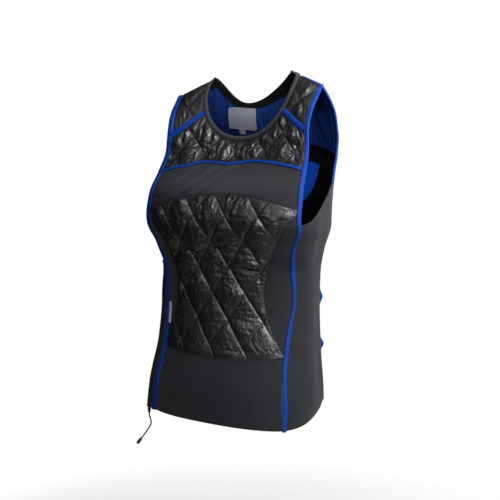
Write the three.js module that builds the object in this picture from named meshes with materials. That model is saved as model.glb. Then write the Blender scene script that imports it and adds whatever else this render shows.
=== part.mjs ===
// A women's cooling tank top in the form it has when worn: quilted water-holding panels and stretch
// jersey panels, joined edge to edge by blue binding, with a zip in the wearer's right front seam.
// Millimetres, +Z up, the front faces -Y and the wearer's left is +X. The origin lies midway between
// the two neck points of the shoulder line, where the top hangs on its wearer.
import * as THREE from "three";

// Cloth thicknesses
const JERSEY_WALL = 1.6;
const QUILT_WALL = 2.4;
const LINING_WALL = 1.0;
const LABEL_WALL = 0.8;
const LAYER_GAP = 0.5; // between two cloths that lie on each other

// Seams: every panel stops short of the binding that joins it to the next one
const BINDING_WIDTH = 8.5;
const BINDING_PROUD = 1.6;
const BINDING_EDGE_PROUD = 0.8;
const BINDING_DEPTH = 2.4;
const SEAM_GAP = 0.6;
const BINDING_CLEAR = BINDING_WIDTH / 2 + SEAM_GAP;
const NECK_CLEAR = BINDING_CLEAR + SEAM_GAP; // more, since the neck binding is drawn in straight steps
const BINDING_TAIL = 2; // by which the bindings run past the hem
const RIDGE_CLEAR = 2.2; // from the shoulder line to the ends of the armhole bindings
const SHOULDER_FRONT_CLEAR = 2.2; // from the shoulder line to the front panels
const SHOULDER_BACK_CLEAR = 6.4; // from the shoulder line to the back yoke, past the shoulder tape

// Quilting: diamonds of two families of stitch lines, with one crossing at a known place
const DIAMOND_WIDTH = 68;
const DIAMOND_HEIGHT = 92;
const QUILT_PUFF = 4.5;
const CROSSING_SIDE = -8;
const CROSSING_Z = -386;
const FADE = 14; // over which relief runs out towards a sewn edge

// The body's sections from below the hem to the shoulder line. A section is z at the centre line,
// falls by slope and comes forward by sweep for each millimetre to the side, is side from the centre
// line at its widest, which lies at y = mid, and reaches y = front and y = back. The seams are given
// by their distance from the centre line. Squareness is 2 for an ellipse and more for a boxy section.
const SECTION_COLUMNS = ["z", "slope", "sweep", "side", "mid", "front", "back",
  "squareFront", "squareBack", "seamFront", "seamBack"];
const SECTIONS = [
  [-640, 0.00, 0.00, 169, -52, -144, 58, 2.6, 2.4, 146, 156],
  [-560, 0.00, 0.00, 166, -48, -134, 60, 2.5, 2.4, 142, 153],
  [-480, 0.00, 0.00, 157, -40, -116, 60, 2.3, 2.3, 134, 145],
  [-410, 0.00, 0.00, 154, -36, -106, 58, 2.2, 2.2, 139, 142],
  [-350, 0.00, 0.00, 156, -36, -104, 58, 2.4, 2.2, 141, 144],
  [-305, 0.00, 0.00, 166, -38, -108, 62, 3.2, 2.2, 150, 154],
  [-265, 0.00, 0.00, 178, -38, -118, 68, 3.6, 2.2, 163, 165],
  [-220, 0.00, 0.00, 178, -34, -108, 72, 4.0, 2.2, 163, 165],
  [-175, 0.00, 0.04, 173, -22, -74, 80, 6.0, 2.6, 158, 161],
  [-131, 0.04, 0.13, 172, -12, -50, 79, 6.0, 3.8, 152, 157],
  [-89, 0.12, 0.21, 176, -6, -42, 70, 6.0, 5.0, 150, 159],
  [-47, 0.22, 0.26, 179, 0, -31, 55, 5.0, 5.0, 152, 162],
  [-12, 0.33, 0.27, 174, 3, -20, 39, 3.5, 4.0, 154, 161],
  [12, 0.41, 0.27, 168, 4, -10, 24, 2.5, 3.0, 155, 158],
  [22, 0.44, 0.27, 165, 4, -5, 14, 2.0, 2.2, 155, 155],
  [25, 0.44, 0.27, 165, 4, 4, 4, 2.0, 2.0, 155, 155],
];
const CENTRE_ROUND = 40; // half width over which slope and sweep start gently at the centre line
const SWEEP_START = 68; // way to the side at which the sweep is nil
const sideways = (x) => Math.hypot(x, CENTRE_ROUND) - CENTRE_ROUND;

// The zip draws the wearer's right front seam forward below the bust and turns its binding to the front
const ZIP_PULL = 9;
const ZIP_TURN = 4;
const ZIP_PULL_FROM_Z = -290;
const ZIP_PULL_FULL_Z = -350;

// Neck opening, along the middle of its binding: a rounded front, which hangs to the wearer's left by the
// shift, and a back between two peaks on the shoulder lines, whose lowest point hangs to the right
const NECK_SHIFT = 6;
const NECK_HALF = 97;
const NECK_ROUND = 2.15;
const NECK_WIDEST_Z = -6;
const NECK_FLOOR_Z = -116;
const NECK_PEAK_X = 87;
const NECK_BACK_SHIFT = -16;
const NECK_BACK_POWER = 2.4;
const NECK_BACK_FLOOR_Z = -51;

// The back leans forward to the neck: by which share of its depth, over which half width and heights
const NECK_LEAN = { share: 0.87, half: 118, fromZ: -190, fullZ: -50 };

// Soft folds of the jersey: angle round the body in degrees, height, half length, half width across
// the fold, lean of the fold to the side for each millimetre down, and how far it stands out
const FOLD_COLUMNS = ["angle", "z", "length", "width", "lean", "rise"];
const FOLDS = [
  [78, -330, 120, 16, 0.10, 3.0],
  [96, -380, 150, 18, -0.08, 2.6],
  [84, -520, 110, 20, 0.12, 2.4],
  [-78, -330, 120, 16, -0.10, 3.0],
  [-96, -380, 150, 18, 0.08, 2.6],
  [-84, -520, 110, 20, -0.12, 2.4],
  [-6, -186, 26, 9, -0.80, 2.0],
  [-16, -190, 26, 9, -0.80, 2.2],
  [-27, -194, 24, 9, -0.80, 1.8],
  [150, -420, 140, 22, 0.15, 2.4],
  [180, -480, 120, 26, 0.00, 2.0],
  [-150, -420, 140, 22, -0.15, 2.4],
].map((row) => Object.fromEntries(row.map((value, i) => [FOLD_COLUMNS[i], value])));

// Creases that run round the quilted front, where the cloth is drawn in under the bust and at the waist
const CREASE_COLUMNS = ["z", "tilt", "width", "depth"];
const CREASES = [
  [-312, 0.06, 13, 3.6],
  [-342, -0.08, 11, 2.4],
  [-432, 0.05, 12, 2.2],
  [-478, -0.06, 11, 2.0],
].map((row) => Object.fromEntries(row.map((value, i) => [CREASE_COLUMNS[i], value])));

const BLACK_QUILT = new THREE.MeshStandardMaterial({ color: 0x17181b, roughness: 0.35 });
const CHARCOAL_JERSEY = new THREE.MeshStandardMaterial({ color: 0x33353a, roughness: 0.9 });
const BLUE_BINDING = new THREE.MeshStandardMaterial({ color: 0x1f4fd0, roughness: 0.7 });
const BLUE_LINING = new THREE.MeshStandardMaterial({ color: 0x22408f, roughness: 0.6 });
const BLACK_BINDING = new THREE.MeshStandardMaterial({ color: 0x1c1c1f, roughness: 0.85 });
const WHITE_LABEL = new THREE.MeshStandardMaterial({ color: 0xdfe1e4, roughness: 0.6 });
const BLACK_CORD = new THREE.MeshStandardMaterial({ color: 0x111113, roughness: 0.7 });
const BLACK_METAL = new THREE.MeshStandardMaterial({ color: 0x1a1a1c, roughness: 0.4, metalness: 0.6 });

const radians = THREE.MathUtils.degToRad;
const clamp = THREE.MathUtils.clamp;
const lerp = THREE.MathUtils.lerp;
const smoothstep = THREE.MathUtils.smoothstep;

// Slope of one column at one row, which keeps the curve through the rows free of overshoot
function columnSlope(c, i) {
  const before = i > 0 ? SECTIONS[i][c] - SECTIONS[i - 1][c] : null;
  const after = i < SECTIONS.length - 1 ? SECTIONS[i + 1][c] - SECTIONS[i][c] : null;
  if (before === null) return after;
  if (after === null) return before;
  return before * after > 0 ? (2 * before * after) / (before + after) : 0;
}
const SLOPES = SECTIONS.map((row, i) => row.map((_, c) => columnSlope(c, i)));

// One column at the height share v, from 0 at the lowest section to 1 at the shoulder line
function sectionValue(c, v) {
  const last = SECTIONS.length - 1;
  const f = clamp(v, 0, 1) * last;
  const i = Math.min(Math.floor(f), last - 1);
  const t = f - i;
  const rest = 1 - t;
  return rest * rest * ((1 + 2 * t) * SECTIONS[i][c] + t * SLOPES[i][c])
    + t * t * ((1 + 2 * rest) * SECTIONS[i + 1][c] - rest * SLOPES[i + 1][c]);
}
const column = (name) => SECTION_COLUMNS.indexOf(name);
const Z = column("z");
const SLOPE = column("slope");
const SWEEP = column("sweep");
const SIDE = column("side");
const MID = column("mid");
const FRONT = column("front");
const BACK = column("back");
const SQUARE_FRONT = column("squareFront");
const SQUARE_BACK = column("squareBack");
const SEAM_FRONT = column("seamFront");
const SEAM_BACK = column("seamBack");

const neckLean = (x, z) => NECK_LEAN.share * Math.exp(-((x / NECK_LEAN.half) ** 2))
  * smoothstep(z, NECK_LEAN.fromZ, NECK_LEAN.fullZ);

// Point of the garment at phi round the body (0 at the centre front, a quarter turn at the wearer's
// left) and the height share v
function surface(phi, v) {
  const s = Math.sin(phi);
  const c = Math.cos(phi);
  const mid = sectionValue(MID, v);
  const square = sectionValue(c >= 0 ? SQUARE_FRONT : SQUARE_BACK, v);
  const rho = (Math.abs(s) ** square + Math.abs(c) ** square) ** (1 / square);
  const x = (sectionValue(SIDE, v) * s) / rho;
  const reach = c >= 0 ? mid - sectionValue(FRONT, v)
    : (sectionValue(BACK, v) - mid) * (1 - neckLean(x, sectionValue(Z, v)));
  const away = sideways(x);
  return new THREE.Vector3(
    x,
    mid - (reach * c) / rho - sectionValue(SWEEP, v) * (away - SWEEP_START),
    sectionValue(Z, v) - sectionValue(SLOPE, v) * away,
  );
}

// How the point moves with phi and with v, and the outward normal there
const STEP = 1e-3;
function tangents(phi, v) {
  const inside = clamp(v, STEP, 1 - STEP);
  const alongPhi = surface(phi + STEP, inside).sub(surface(phi - STEP, inside)).divideScalar(2 * STEP);
  const alongV = surface(phi, inside + STEP).sub(surface(phi, inside - STEP)).divideScalar(2 * STEP);
  const normal = alongPhi.clone().cross(alongV).normalize();
  return { alongPhi, alongV, normal };
}

// Root of a rising function
function solve(low, high, f) {
  for (let i = 0; i < 44; i += 1) {
    const middle = (low + high) / 2;
    if (f(middle) < 0) low = middle;
    else high = middle;
  }
  return (low + high) / 2;
}

// Edges that run round the body give v for a phi; edges that run up it give phi for a v
const levelEdge = (height) => (phi) => solve(0, 1, (v) => {
  const p = surface(phi, v);
  return p.z - height(p.x, p.y);
});
const sideEdge = (half) => (v) => solve(0, radians(89), (phi) => {
  const p = surface(phi, v);
  return p.x - half(p.z);
});
const raise = (edge, distance) => (phi) => {
  const v = edge(phi);
  const run = surface(phi + STEP, edge(phi + STEP)).sub(surface(phi - STEP, edge(phi - STEP))).normalize();
  const up = tangents(phi, v).alongV;
  const speed = up.length();
  const across = Math.sqrt(1 - (up.dot(run) / speed) ** 2);
  return v + distance / (speed * across);
};
const widen = (edge, distance) => (v) => {
  const inside = clamp(v, STEP, 1 - STEP);
  const phi = edge(v);
  const run = surface(edge(inside + STEP), inside + STEP)
    .sub(surface(edge(inside - STEP), inside - STEP)).normalize();
  const round = tangents(phi, v).alongPhi;
  const speed = round.length();
  const across = Math.sqrt(1 - (round.dot(run) / speed) ** 2);
  return phi + distance / (speed * across);
};
const lower = (...edges) => (t) => Math.min(...edges.map((edge) => edge(t)));
const mirrored = (edge) => (t) => -edge(t);

// Angle round a section at a distance from the centre line
function angleAt(x, v, squareColumn) {
  const share = x / sectionValue(SIDE, v);
  const square = sectionValue(squareColumn, v);
  return Math.atan2(share, (1 - share ** square) ** (1 / square));
}
const drawn = (v) => smoothstep(-sectionValue(Z, v), -ZIP_PULL_FROM_Z, -ZIP_PULL_FULL_Z);
const frontSeam = (pull) => (v) => angleAt(sectionValue(SEAM_FRONT, v) - pull * drawn(v), v, SQUARE_FRONT);
const leftSeam = frontSeam(0);
const zipSeam = frontSeam(ZIP_PULL); // as on the left: its pieces are mirrored when they are made
const leftSeamInner = widen(leftSeam, -BINDING_CLEAR);
const zipSeamInner = widen(zipSeam, -BINDING_CLEAR);
const backSeam = (v) => Math.PI - angleAt(sectionValue(SEAM_BACK, v), v, SQUARE_BACK);
const COARSE_CLEAR = 0.4; // more, for the back's coarser grids along curved seams
const backSeamInner = widen(backSeam, BINDING_CLEAR + COARSE_CLEAR);
const roundTheBack = (edge) => (v) => 2 * Math.PI - edge(v);

// Heights of the edges that run round the body: z at the centre, and how an edge bends to the sides,
// where the drop is reached at SEAM_SIDE, or to the back
const SEAM_SIDE = 150;
const CHEST_BAND = { z: -161, bustRise: 4, bustSpan: 110, drop: 11 };
const BELLY_TOP = { z: -214, drop: 24 };
const BELLY_LOW = { z: -497, rise: 8, span: 130 };
const BACK_YOKE = { z: -108, drop: 34 };
const HEM = { z: -610, rise: 36, fromY: -118, depth: 110 };
const UNDERARM = { z: -266, rise: 70, fromY: -94, toY: 14 };
const SHOULDER_STRIP = { z: -70, fromX: 92, fall: 0.68 };
const chestBandZ = (x) => {
  const span = CHEST_BAND.bustSpan;
  const bust = Math.sin((Math.PI * Math.min(Math.abs(x), span)) / span) ** 2;
  return CHEST_BAND.z + CHEST_BAND.bustRise * bust - CHEST_BAND.drop * (x / SEAM_SIDE) ** 4;
};
const bellyTopZ = (x) => BELLY_TOP.z - BELLY_TOP.drop * (x / SEAM_SIDE) ** 2;
const bellyLowZ = (x) => BELLY_LOW.z + BELLY_LOW.rise * (Math.abs(x) / BELLY_LOW.span) ** 3;
const backYokeZ = (x) => BACK_YOKE.z - BACK_YOKE.drop * (x / SEAM_SIDE) ** 2;
const hemZ = (x, y) => HEM.z + HEM.rise * clamp((y - HEM.fromY) / HEM.depth, 0, 1) ** 1.6;
const underarmZ = (x, y) => UNDERARM.z + UNDERARM.rise * smoothstep(y, UNDERARM.fromY, UNDERARM.toY);
const shoulderStripZ = (x) => SHOULDER_STRIP.z - SHOULDER_STRIP.fall * (Math.abs(x) - SHOULDER_STRIP.fromX);
const roundedShare = (share) => (1 - clamp(share, 0, 1) ** NECK_ROUND) ** (1 / NECK_ROUND);
const neckFloorZ = (x) => {
  const share = Math.abs(x - NECK_SHIFT) / NECK_HALF;
  if (share >= 1) return SECTIONS.at(-1)[Z];
  return NECK_WIDEST_Z - (NECK_WIDEST_Z - NECK_FLOOR_Z) * roundedShare(share);
};
const neckHalf = (shift) => (z) => shift
  + NECK_HALF * roundedShare((NECK_WIDEST_Z - z) / (NECK_WIDEST_Z - NECK_FLOOR_Z));

// Half width of the quilted belly panel, an hourglass that is narrowest at the waist and wider by the
// flares at the given spans over and under it
const BELLY_WAIST_Z = -388;
const BELLY_WAIST_HALF = 94;
const UPPER_FLARE = { span: 150, by: 75, power: 1.9 };
const LOWER_FLARE = { span: 104, by: 41, power: 1.8 };
const FLARE_MOST = 1.2;
const flareAt = (way, { span, by, power }) => by * clamp(way / span, 0, FLARE_MOST) ** power;
const bellyHalf = (z) => BELLY_WAIST_HALF + flareAt(z - BELLY_WAIST_Z, UPPER_FLARE)
  + flareAt(BELLY_WAIST_Z - z, LOWER_FLARE);

const chestBand = levelEdge(chestBandZ);
const bellyTop = levelEdge(bellyTopZ);
const bellyLow = levelEdge(bellyLowZ);
const hem = levelEdge(hemZ);
const underarm = levelEdge(underarmZ);
const backYokeLow = levelEdge(backYokeZ);
const shoulderStrip = levelEdge(shoulderStripZ);
const neckFloor = levelEdge(neckFloorZ);
const leftNeck = sideEdge(neckHalf(NECK_SHIFT));
const rightNeck = sideEdge(neckHalf(-NECK_SHIFT)); // as on the left, like the zip's seam
const bellyCurve = sideEdge(bellyHalf);
const shoulderLine = () => 1;
const shoulderPanelTop = raise(shoulderLine, -SHOULDER_FRONT_CLEAR);

// Length along the centre front from the lowest section up to v, the quilting's own height
const CLIMB_STEPS = 160;
const CLIMB = [0];
for (let i = 1; i <= CLIMB_STEPS; i += 1) {
  const from = surface(0, (i - 1) / CLIMB_STEPS);
  CLIMB.push(CLIMB[i - 1] + surface(0, i / CLIMB_STEPS).distanceTo(from));
}
function climb(v) {
  const f = clamp(v, 0, 1) * CLIMB_STEPS;
  const i = Math.min(Math.floor(f), CLIMB_STEPS - 1);
  return lerp(CLIMB[i], CLIMB[i + 1], f - i);
}
const CROSSING_CLIMB = climb(levelEdge(() => CROSSING_Z)(0));

// Length round the section from the centre line it starts at
function girth(from, phi, v) {
  const steps = 10;
  let length = 0;
  for (let i = 0; i < steps; i += 1) {
    const a = surface(lerp(from, phi, i / steps), v);
    length += surface(lerp(from, phi, (i + 1) / steps), v).distanceTo(a);
  }
  return phi < from ? -length : length;
}

// Padding of the quilted cloth, and the relief of its creases and of the jersey's folds, along the normal
function quiltPuff(phi, v) {
  const centre = Math.abs(phi) > Math.PI / 2 ? Math.PI : 0;
  const side = (girth(centre, phi, v) - CROSSING_SIDE) / DIAMOND_WIDTH;
  const up = (climb(v) - CROSSING_CLIMB) / DIAMOND_HEIGHT;
  const pillow = Math.sin(Math.PI * (side + up)) * Math.sin(Math.PI * (side - up));
  return QUILT_PUFF * Math.sqrt(Math.abs(pillow));
}
function creaseRelief(phi, v) {
  const p = surface(phi, v);
  let relief = 0;
  for (const crease of CREASES) {
    const off = (p.z - crease.z - crease.tilt * p.x) / crease.width;
    relief -= crease.depth * Math.exp(-off * off);
  }
  return relief;
}
function jerseyRelief(phi, v) {
  const p = surface(phi, v);
  let relief = 0;
  for (const fold of FOLDS) {
    const down = fold.z - p.z;
    const place = radians(fold.angle);
    const turn = Math.atan2(Math.sin(phi - place), Math.cos(phi - place));
    if (Math.abs(turn) > 1) continue;
    const off = (girth(place, place + turn, v) - fold.lean * down) / fold.width;
    relief += fold.rise * Math.exp(-off * off - (down / fold.length) ** 2);
  }
  return relief;
}
const flat = (height) => () => height;

// A closed mesh from its outer and inner sheets, both grids of points with rows from below
function closedSheet(outer, inner) {
  const rows = outer.length;
  const cols = outer[0].length;
  const positions = [];
  for (const sheet of [outer, inner]) {
    for (const row of sheet) for (const p of row) positions.push(p.x, p.y, p.z);
  }
  const at = (sheet, j, i) => sheet * rows * cols + j * cols + i;
  const index = [];
  const quad = (a, b, c, d) => index.push(a, b, c, a, c, d);
  for (let j = 0; j < rows - 1; j += 1) {
    for (let i = 0; i < cols - 1; i += 1) {
      quad(at(0, j, i), at(0, j, i + 1), at(0, j + 1, i + 1), at(0, j + 1, i));
      quad(at(1, j, i), at(1, j + 1, i), at(1, j + 1, i + 1), at(1, j, i + 1));
    }
    quad(at(0, j, 0), at(0, j + 1, 0), at(1, j + 1, 0), at(1, j, 0));
    quad(at(0, j, cols - 1), at(1, j, cols - 1), at(1, j + 1, cols - 1), at(0, j + 1, cols - 1));
  }
  for (let i = 0; i < cols - 1; i += 1) {
    quad(at(0, 0, i), at(1, 0, i), at(1, 0, i + 1), at(0, 0, i + 1));
    quad(at(0, rows - 1, i), at(0, rows - 1, i + 1), at(1, rows - 1, i + 1), at(1, rows - 1, i));
  }
  return meshGeometry(positions, index);
}
function meshGeometry(positions, index) {
  const geometry = new THREE.BufferGeometry();
  geometry.setAttribute("position", new THREE.Float32BufferAttribute(positions, 3));
  geometry.setIndex(index);
  geometry.computeVertexNormals();
  return geometry;
}

// Where an edge that runs up the body meets one that runs round it
function corner(side, level, v) {
  for (let i = 0; i < 60; i += 1) v = lerp(v, level(side(v)), 0.6);
  return { phi: side(v), v };
}

// The four borders of a panel as runs from 0 to 1, from its four edges; low and high are the height
// shares where the search for its lower and upper corners starts
function borders({ left, right, bottom, top, low = 0.2, high = 0.8 }) {
  const a = corner(left, bottom, low);
  const b = corner(right, bottom, low);
  const c = corner(left, top, high);
  const d = corner(right, top, high);
  const level = (edge, from, to) => (s) => {
    const phi = lerp(from.phi, to.phi, s);
    return { phi, v: edge(phi) };
  };
  const upright = (edge, from, to) => (t) => {
    const v = lerp(from.v, to.v, t);
    return { phi: edge(v), v };
  };
  return {
    bottom: level(bottom, a, b),
    top: level(top, c, d),
    left: upright(left, a, c),
    right: upright(right, b, d),
  };
}

// A sewn panel that fills its four borders. outer and inner are heights over the garment's surface, by
// the share across the panel and by v. relief is added to both and puff to the outer one, and both fade
// out towards the sewn edges.
function panel({ bottom, top, left, right }, { cols, rows, outer, inner, relief = flat(0), puff = flat(0) }) {
  const corners = [bottom(0), bottom(1), top(0), top(1)];
  const blend = (key, s, t) => (1 - t) * bottom(s)[key] + t * top(s)[key]
    + (1 - s) * left(t)[key] + s * right(t)[key]
    - (1 - t) * ((1 - s) * corners[0][key] + s * corners[1][key])
    - t * ((1 - s) * corners[2][key] + s * corners[3][key]);
  const grid = [];
  for (let j = 0; j <= rows; j += 1) {
    const row = [];
    for (let i = 0; i <= cols; i += 1) {
      const phi = blend("phi", i / cols, j / rows);
      const v = blend("v", i / cols, j / rows);
      row.push({ phi, v, base: surface(phi, v), normal: tangents(phi, v).normal });
    }
    grid.push(row);
  }
  const edgePoints = grid.flatMap((row, j) => row.filter((_, i) => i % cols === 0 || j % rows === 0));
  const fade = (spot) => {
    const nearest = Math.min(...edgePoints.map((edge) => edge.base.distanceTo(spot.base)));
    return smoothstep(nearest, 0, FADE);
  };
  const sheet = (height, lift) => grid.map((row) => row.map((spot, i) => {
    const out = height(i / cols, spot.v) + lift(spot.phi, spot.v) * fade(spot);
    return spot.base.clone().addScaledVector(spot.normal, out);
  }));
  const padded = (phi, v) => relief(phi, v) + puff(phi, v);
  return closedSheet(sheet(outer, padded), sheet(inner, relief));
}
const jersey = { outer: flat(0), inner: flat(-JERSEY_WALL), relief: jerseyRelief };
const quilt = { outer: flat(0), inner: flat(-QUILT_WALL), puff: quiltPuff };
const creasedQuilt = { ...quilt, relief: creaseRelief };

// A binding is a narrow panel along its seam, crowned across its width
const crowned = (s) => lerp(BINDING_EDGE_PROUD, BINDING_PROUD, 1 - Math.abs(2 * s - 1));
const binding = { outer: crowned, inner: flat(-BINDING_DEPTH) };
const turnedBinding = { ...binding, outer: (s, v) => crowned(s) + ZIP_TURN * s * drawn(v) };
function uprightBinding(seam, rows, form = binding) {
  const edges = borders({
    left: widen(seam, -BINDING_WIDTH / 2),
    right: widen(seam, BINDING_WIDTH / 2),
    bottom: raise(hem, -BINDING_TAIL),
    top: raise(shoulderLine, -RIDGE_CLEAR),
    high: 0.99,
  });
  return panel(edges, { ...form, cols: 2, rows });
}
function levelBinding(level, left, right, cols) {
  const half = BINDING_WIDTH / 2;
  const edges = borders({ left, right, bottom: raise(level, -half), top: raise(level, half) });
  const turned = {
    bottom: (s) => edges.right(s),
    top: (s) => edges.left(s),
    left: (t) => edges.bottom(1 - t),
    right: (t) => edges.top(1 - t),
  };
  return panel(turned, { ...binding, cols: 2, rows: cols });
}

// A solid of one section carried along frames; the section's points are across and out of the cloth
function sweep(frames, section, closed) {
  const positions = [];
  for (const { at, across, out } of frames) {
    for (const [a, o] of section) {
      const p = at.clone().addScaledVector(across, a).addScaledVector(out, o);
      positions.push(p.x, p.y, p.z);
    }
  }
  const n = section.length;
  const index = [];
  const spans = closed ? frames.length : frames.length - 1;
  for (let j = 0; j < spans; j += 1) {
    const next = (j + 1) % frames.length;
    for (let i = 0; i < n; i += 1) {
      const k = (i + 1) % n;
      index.push(j * n + i, j * n + k, next * n + k, j * n + i, next * n + k, next * n + i);
    }
  }
  if (!closed) {
    const last = (frames.length - 1) * n;
    const faces = THREE.ShapeUtils.triangulateShape(section.map(([a, o]) => new THREE.Vector2(a, o)), []);
    for (const [a, b, c] of faces) {
      index.push(a, c, b);
      index.push(last + a, last + b, last + c);
    }
  }
  return meshGeometry(positions, index);
}

// Mirror image of a piece for the wearer's other side
function otherSide(geometry) {
  const copy = geometry.clone().scale(-1, 1, 1);
  const index = copy.getIndex().array;
  for (let i = 0; i < index.length; i += 3) [index[i], index[i + 1]] = [index[i + 1], index[i]];
  copy.computeVertexNormals();
  return copy;
}

// The spot on the front or the back at x from the centre line and at height z
function spotAt(x, z, squareColumn) {
  const v = solve(0, 1, (w) => sectionValue(Z, w) - sectionValue(SLOPE, w) * sideways(x) - z);
  const turn = angleAt(Math.abs(x), v, squareColumn) * Math.sign(x || 1);
  return { phi: squareColumn === SQUARE_FRONT ? turn : Math.PI - turn, v };
}

const top = new THREE.Group();
function add(name, geometry, material) {
  const mesh = new THREE.Mesh(geometry, material);
  mesh.name = name;
  top.add(mesh);
}
function addSides(name, left, mirroredRight, material) {
  add(`${name}_left`, left, material);
  add(`${name}_right`, otherSide(mirroredRight), material);
}
const addPair = (name, geometry, material) => addSides(name, geometry, geometry, material);

// Front panels
add("yoke_front", panel(borders({
  left: mirrored(zipSeamInner),
  right: leftSeamInner,
  bottom: raise(chestBand, BINDING_CLEAR),
  top: lower(raise(neckFloor, -NECK_CLEAR), raise(shoulderStrip, -BINDING_CLEAR)),
}), { ...quilt, cols: 20, rows: 6 }), BLACK_QUILT);

function shoulderPanel(neck) {
  const edges = borders({
    left: widen(neck, NECK_CLEAR),
    right: leftSeamInner,
    bottom: raise(shoulderStrip, BINDING_CLEAR),
    top: shoulderPanelTop,
    high: 0.95,
  });
  return panel(edges, { ...quilt, cols: 6, rows: 6 });
}
addSides("shoulder_panel", shoulderPanel(leftNeck), shoulderPanel(rightNeck), BLACK_QUILT);

add("chest_panel", panel(borders({
  left: mirrored(zipSeamInner),
  right: leftSeamInner,
  bottom: raise(bellyTop, SEAM_GAP / 2),
  top: raise(chestBand, -BINDING_CLEAR),
}), { ...jersey, cols: 18, rows: 4 }), CHARCOAL_JERSEY);

add("belly_panel", panel(borders({
  left: mirrored(lower(bellyCurve, zipSeamInner)),
  right: lower(bellyCurve, leftSeamInner),
  bottom: raise(bellyLow, SEAM_GAP / 2),
  top: raise(bellyTop, -SEAM_GAP / 2),
}), { ...creasedQuilt, cols: 20, rows: 18 }), BLACK_QUILT);

// The waist insets are crescents: they end where the hourglass runs into the seam
const INSET_TIP = 1.5;
const insetInner = widen(bellyCurve, SEAM_GAP);
const waistV = levelEdge(() => BELLY_WAIST_Z)(0);
function waistInset(seamInner) {
  const width = (v) => surface(seamInner(v), v).x - surface(insetInner(v), v).x;
  const low = solve(0, waistV, (v) => width(v) - INSET_TIP);
  const high = solve(waistV, 0.6, (v) => INSET_TIP - width(v));
  const edges = borders({ left: insetInner, right: seamInner, bottom: () => low, top: () => high });
  return panel(edges, { ...jersey, cols: 4, rows: 16 });
}
addSides("waist_inset", waistInset(leftSeamInner), waistInset(zipSeamInner), CHARCOAL_JERSEY);

add("hem_panel", panel(borders({
  left: mirrored(zipSeamInner),
  right: leftSeamInner,
  bottom: hem,
  top: raise(bellyLow, -SEAM_GAP / 2),
  low: 0.05,
  high: 0.2,
}), { ...jersey, cols: 16, rows: 6 }), CHARCOAL_JERSEY);

function sidePanel(seam) {
  const edges = borders({
    left: widen(seam, BINDING_CLEAR),
    right: widen(backSeam, -BINDING_CLEAR),
    bottom: hem,
    top: underarm,
    low: 0.05,
    high: 0.45,
  });
  return panel(edges, { ...jersey, cols: 6, rows: 20 });
}
addSides("side_panel", sidePanel(leftSeam), sidePanel(zipSeam), CHARCOAL_JERSEY);

// Back yoke and its blue lining, cut out for the neck between the two shoulder straps
const ridgeZ = (x) => SECTIONS.at(-1)[Z] - SECTIONS.at(-1)[SLOPE] * sideways(x);
const NECK_PEAK_Z = ridgeZ(NECK_PEAK_X);
function backNeckPlace(turn) {
  const s = Math.sin(turn);
  const x = NECK_PEAK_X * Math.cos(turn) + NECK_BACK_SHIFT * s * s;
  return new THREE.Vector2(x, lerp(NECK_PEAK_Z, NECK_BACK_FLOOR_Z, Math.abs(s) ** NECK_BACK_POWER));
}

// Spot on the back neck line, or at a distance outside it
function backNeckSpot(turn, clear) {
  const inside = clamp(turn, STEP, Math.PI - STEP);
  const along = backNeckPlace(inside + STEP).sub(backNeckPlace(inside - STEP)).normalize();
  const at = backNeckPlace(turn);
  return spotAt(at.x - clear * along.y, at.y + clear * along.x, SQUARE_BACK);
}
const STRAP_STEPS = 6;
const BACK_NECK_STEPS = 24;
function backYokeBorders(neckClear, seamEdge, bottom) {
  const shoulder = raise(shoulderLine, -SHOULDER_BACK_CLEAR);
  const edges = borders({ left: seamEdge, right: roundTheBack(seamEdge), bottom, top: shoulder, high: 0.95 });
  const overShoulder = (turn) => {
    const spot = backNeckSpot(turn, neckClear);
    return shoulder(spot.phi) - spot.v;
  };
  const neckStart = solve(0, Math.PI / 2, overShoulder);
  const neckEnd = solve(Math.PI / 2, Math.PI, (turn) => -overShoulder(turn));
  const path = [];
  function addStrap(from, to) {
    for (let i = 0; i < STRAP_STEPS; i += 1) {
      const phi = lerp(from, to, i / STRAP_STEPS);
      path.push({ phi, v: shoulder(phi) });
    }
  }
  const strapStart = edges.top(0);
  const strapEnd = edges.top(1);
  addStrap(strapStart.phi, backNeckSpot(neckStart, neckClear).phi);
  for (let i = 0; i < BACK_NECK_STEPS; i += 1) {
    path.push(backNeckSpot(lerp(neckStart, neckEnd, i / BACK_NECK_STEPS), neckClear));
  }
  addStrap(backNeckSpot(neckEnd, neckClear).phi, strapEnd.phi);
  path.push(strapEnd);
  const lengths = [0];
  for (let i = 1; i < path.length; i += 1) {
    const step = surface(path[i].phi, path[i].v).distanceTo(surface(path[i - 1].phi, path[i - 1].v));
    lengths.push(lengths[i - 1] + step);
  }
  edges.top = (s) => {
    const target = s * lengths.at(-1);
    const i = clamp(lengths.findIndex((length) => length >= target), 1, path.length - 1);
    const t = (target - lengths[i - 1]) / (lengths[i] - lengths[i - 1]);
    return { phi: lerp(path[i - 1].phi, path[i].phi, t), v: lerp(path[i - 1].v, path[i].v, t) };
  };
  return edges;
}
const backYokeEdges = backYokeBorders(
  NECK_CLEAR + COARSE_CLEAR,
  backSeamInner,
  raise(backYokeLow, SEAM_GAP / 2),
);
const backYokeGrid = { cols: 20, rows: 11 };
add("back_yoke", panel(backYokeEdges, { ...quilt, ...backYokeGrid }), BLACK_QUILT);

const LINING_OUTER = -(QUILT_WALL + 2 * LAYER_GAP);
const LINING_INNER = LINING_OUTER - LINING_WALL;
const lining = { outer: flat(LINING_OUTER), inner: flat(LINING_INNER) };
add("back_lining", panel(backYokeEdges, { ...lining, ...backYokeGrid }), BLUE_LINING);

add("back_panel", panel(borders({
  left: backSeamInner,
  right: roundTheBack(backSeamInner),
  bottom: hem,
  top: raise(backYokeLow, -SEAM_GAP / 2),
  low: 0.05,
}), { ...jersey, cols: 12, rows: 13 }), CHARCOAL_JERSEY);

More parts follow.
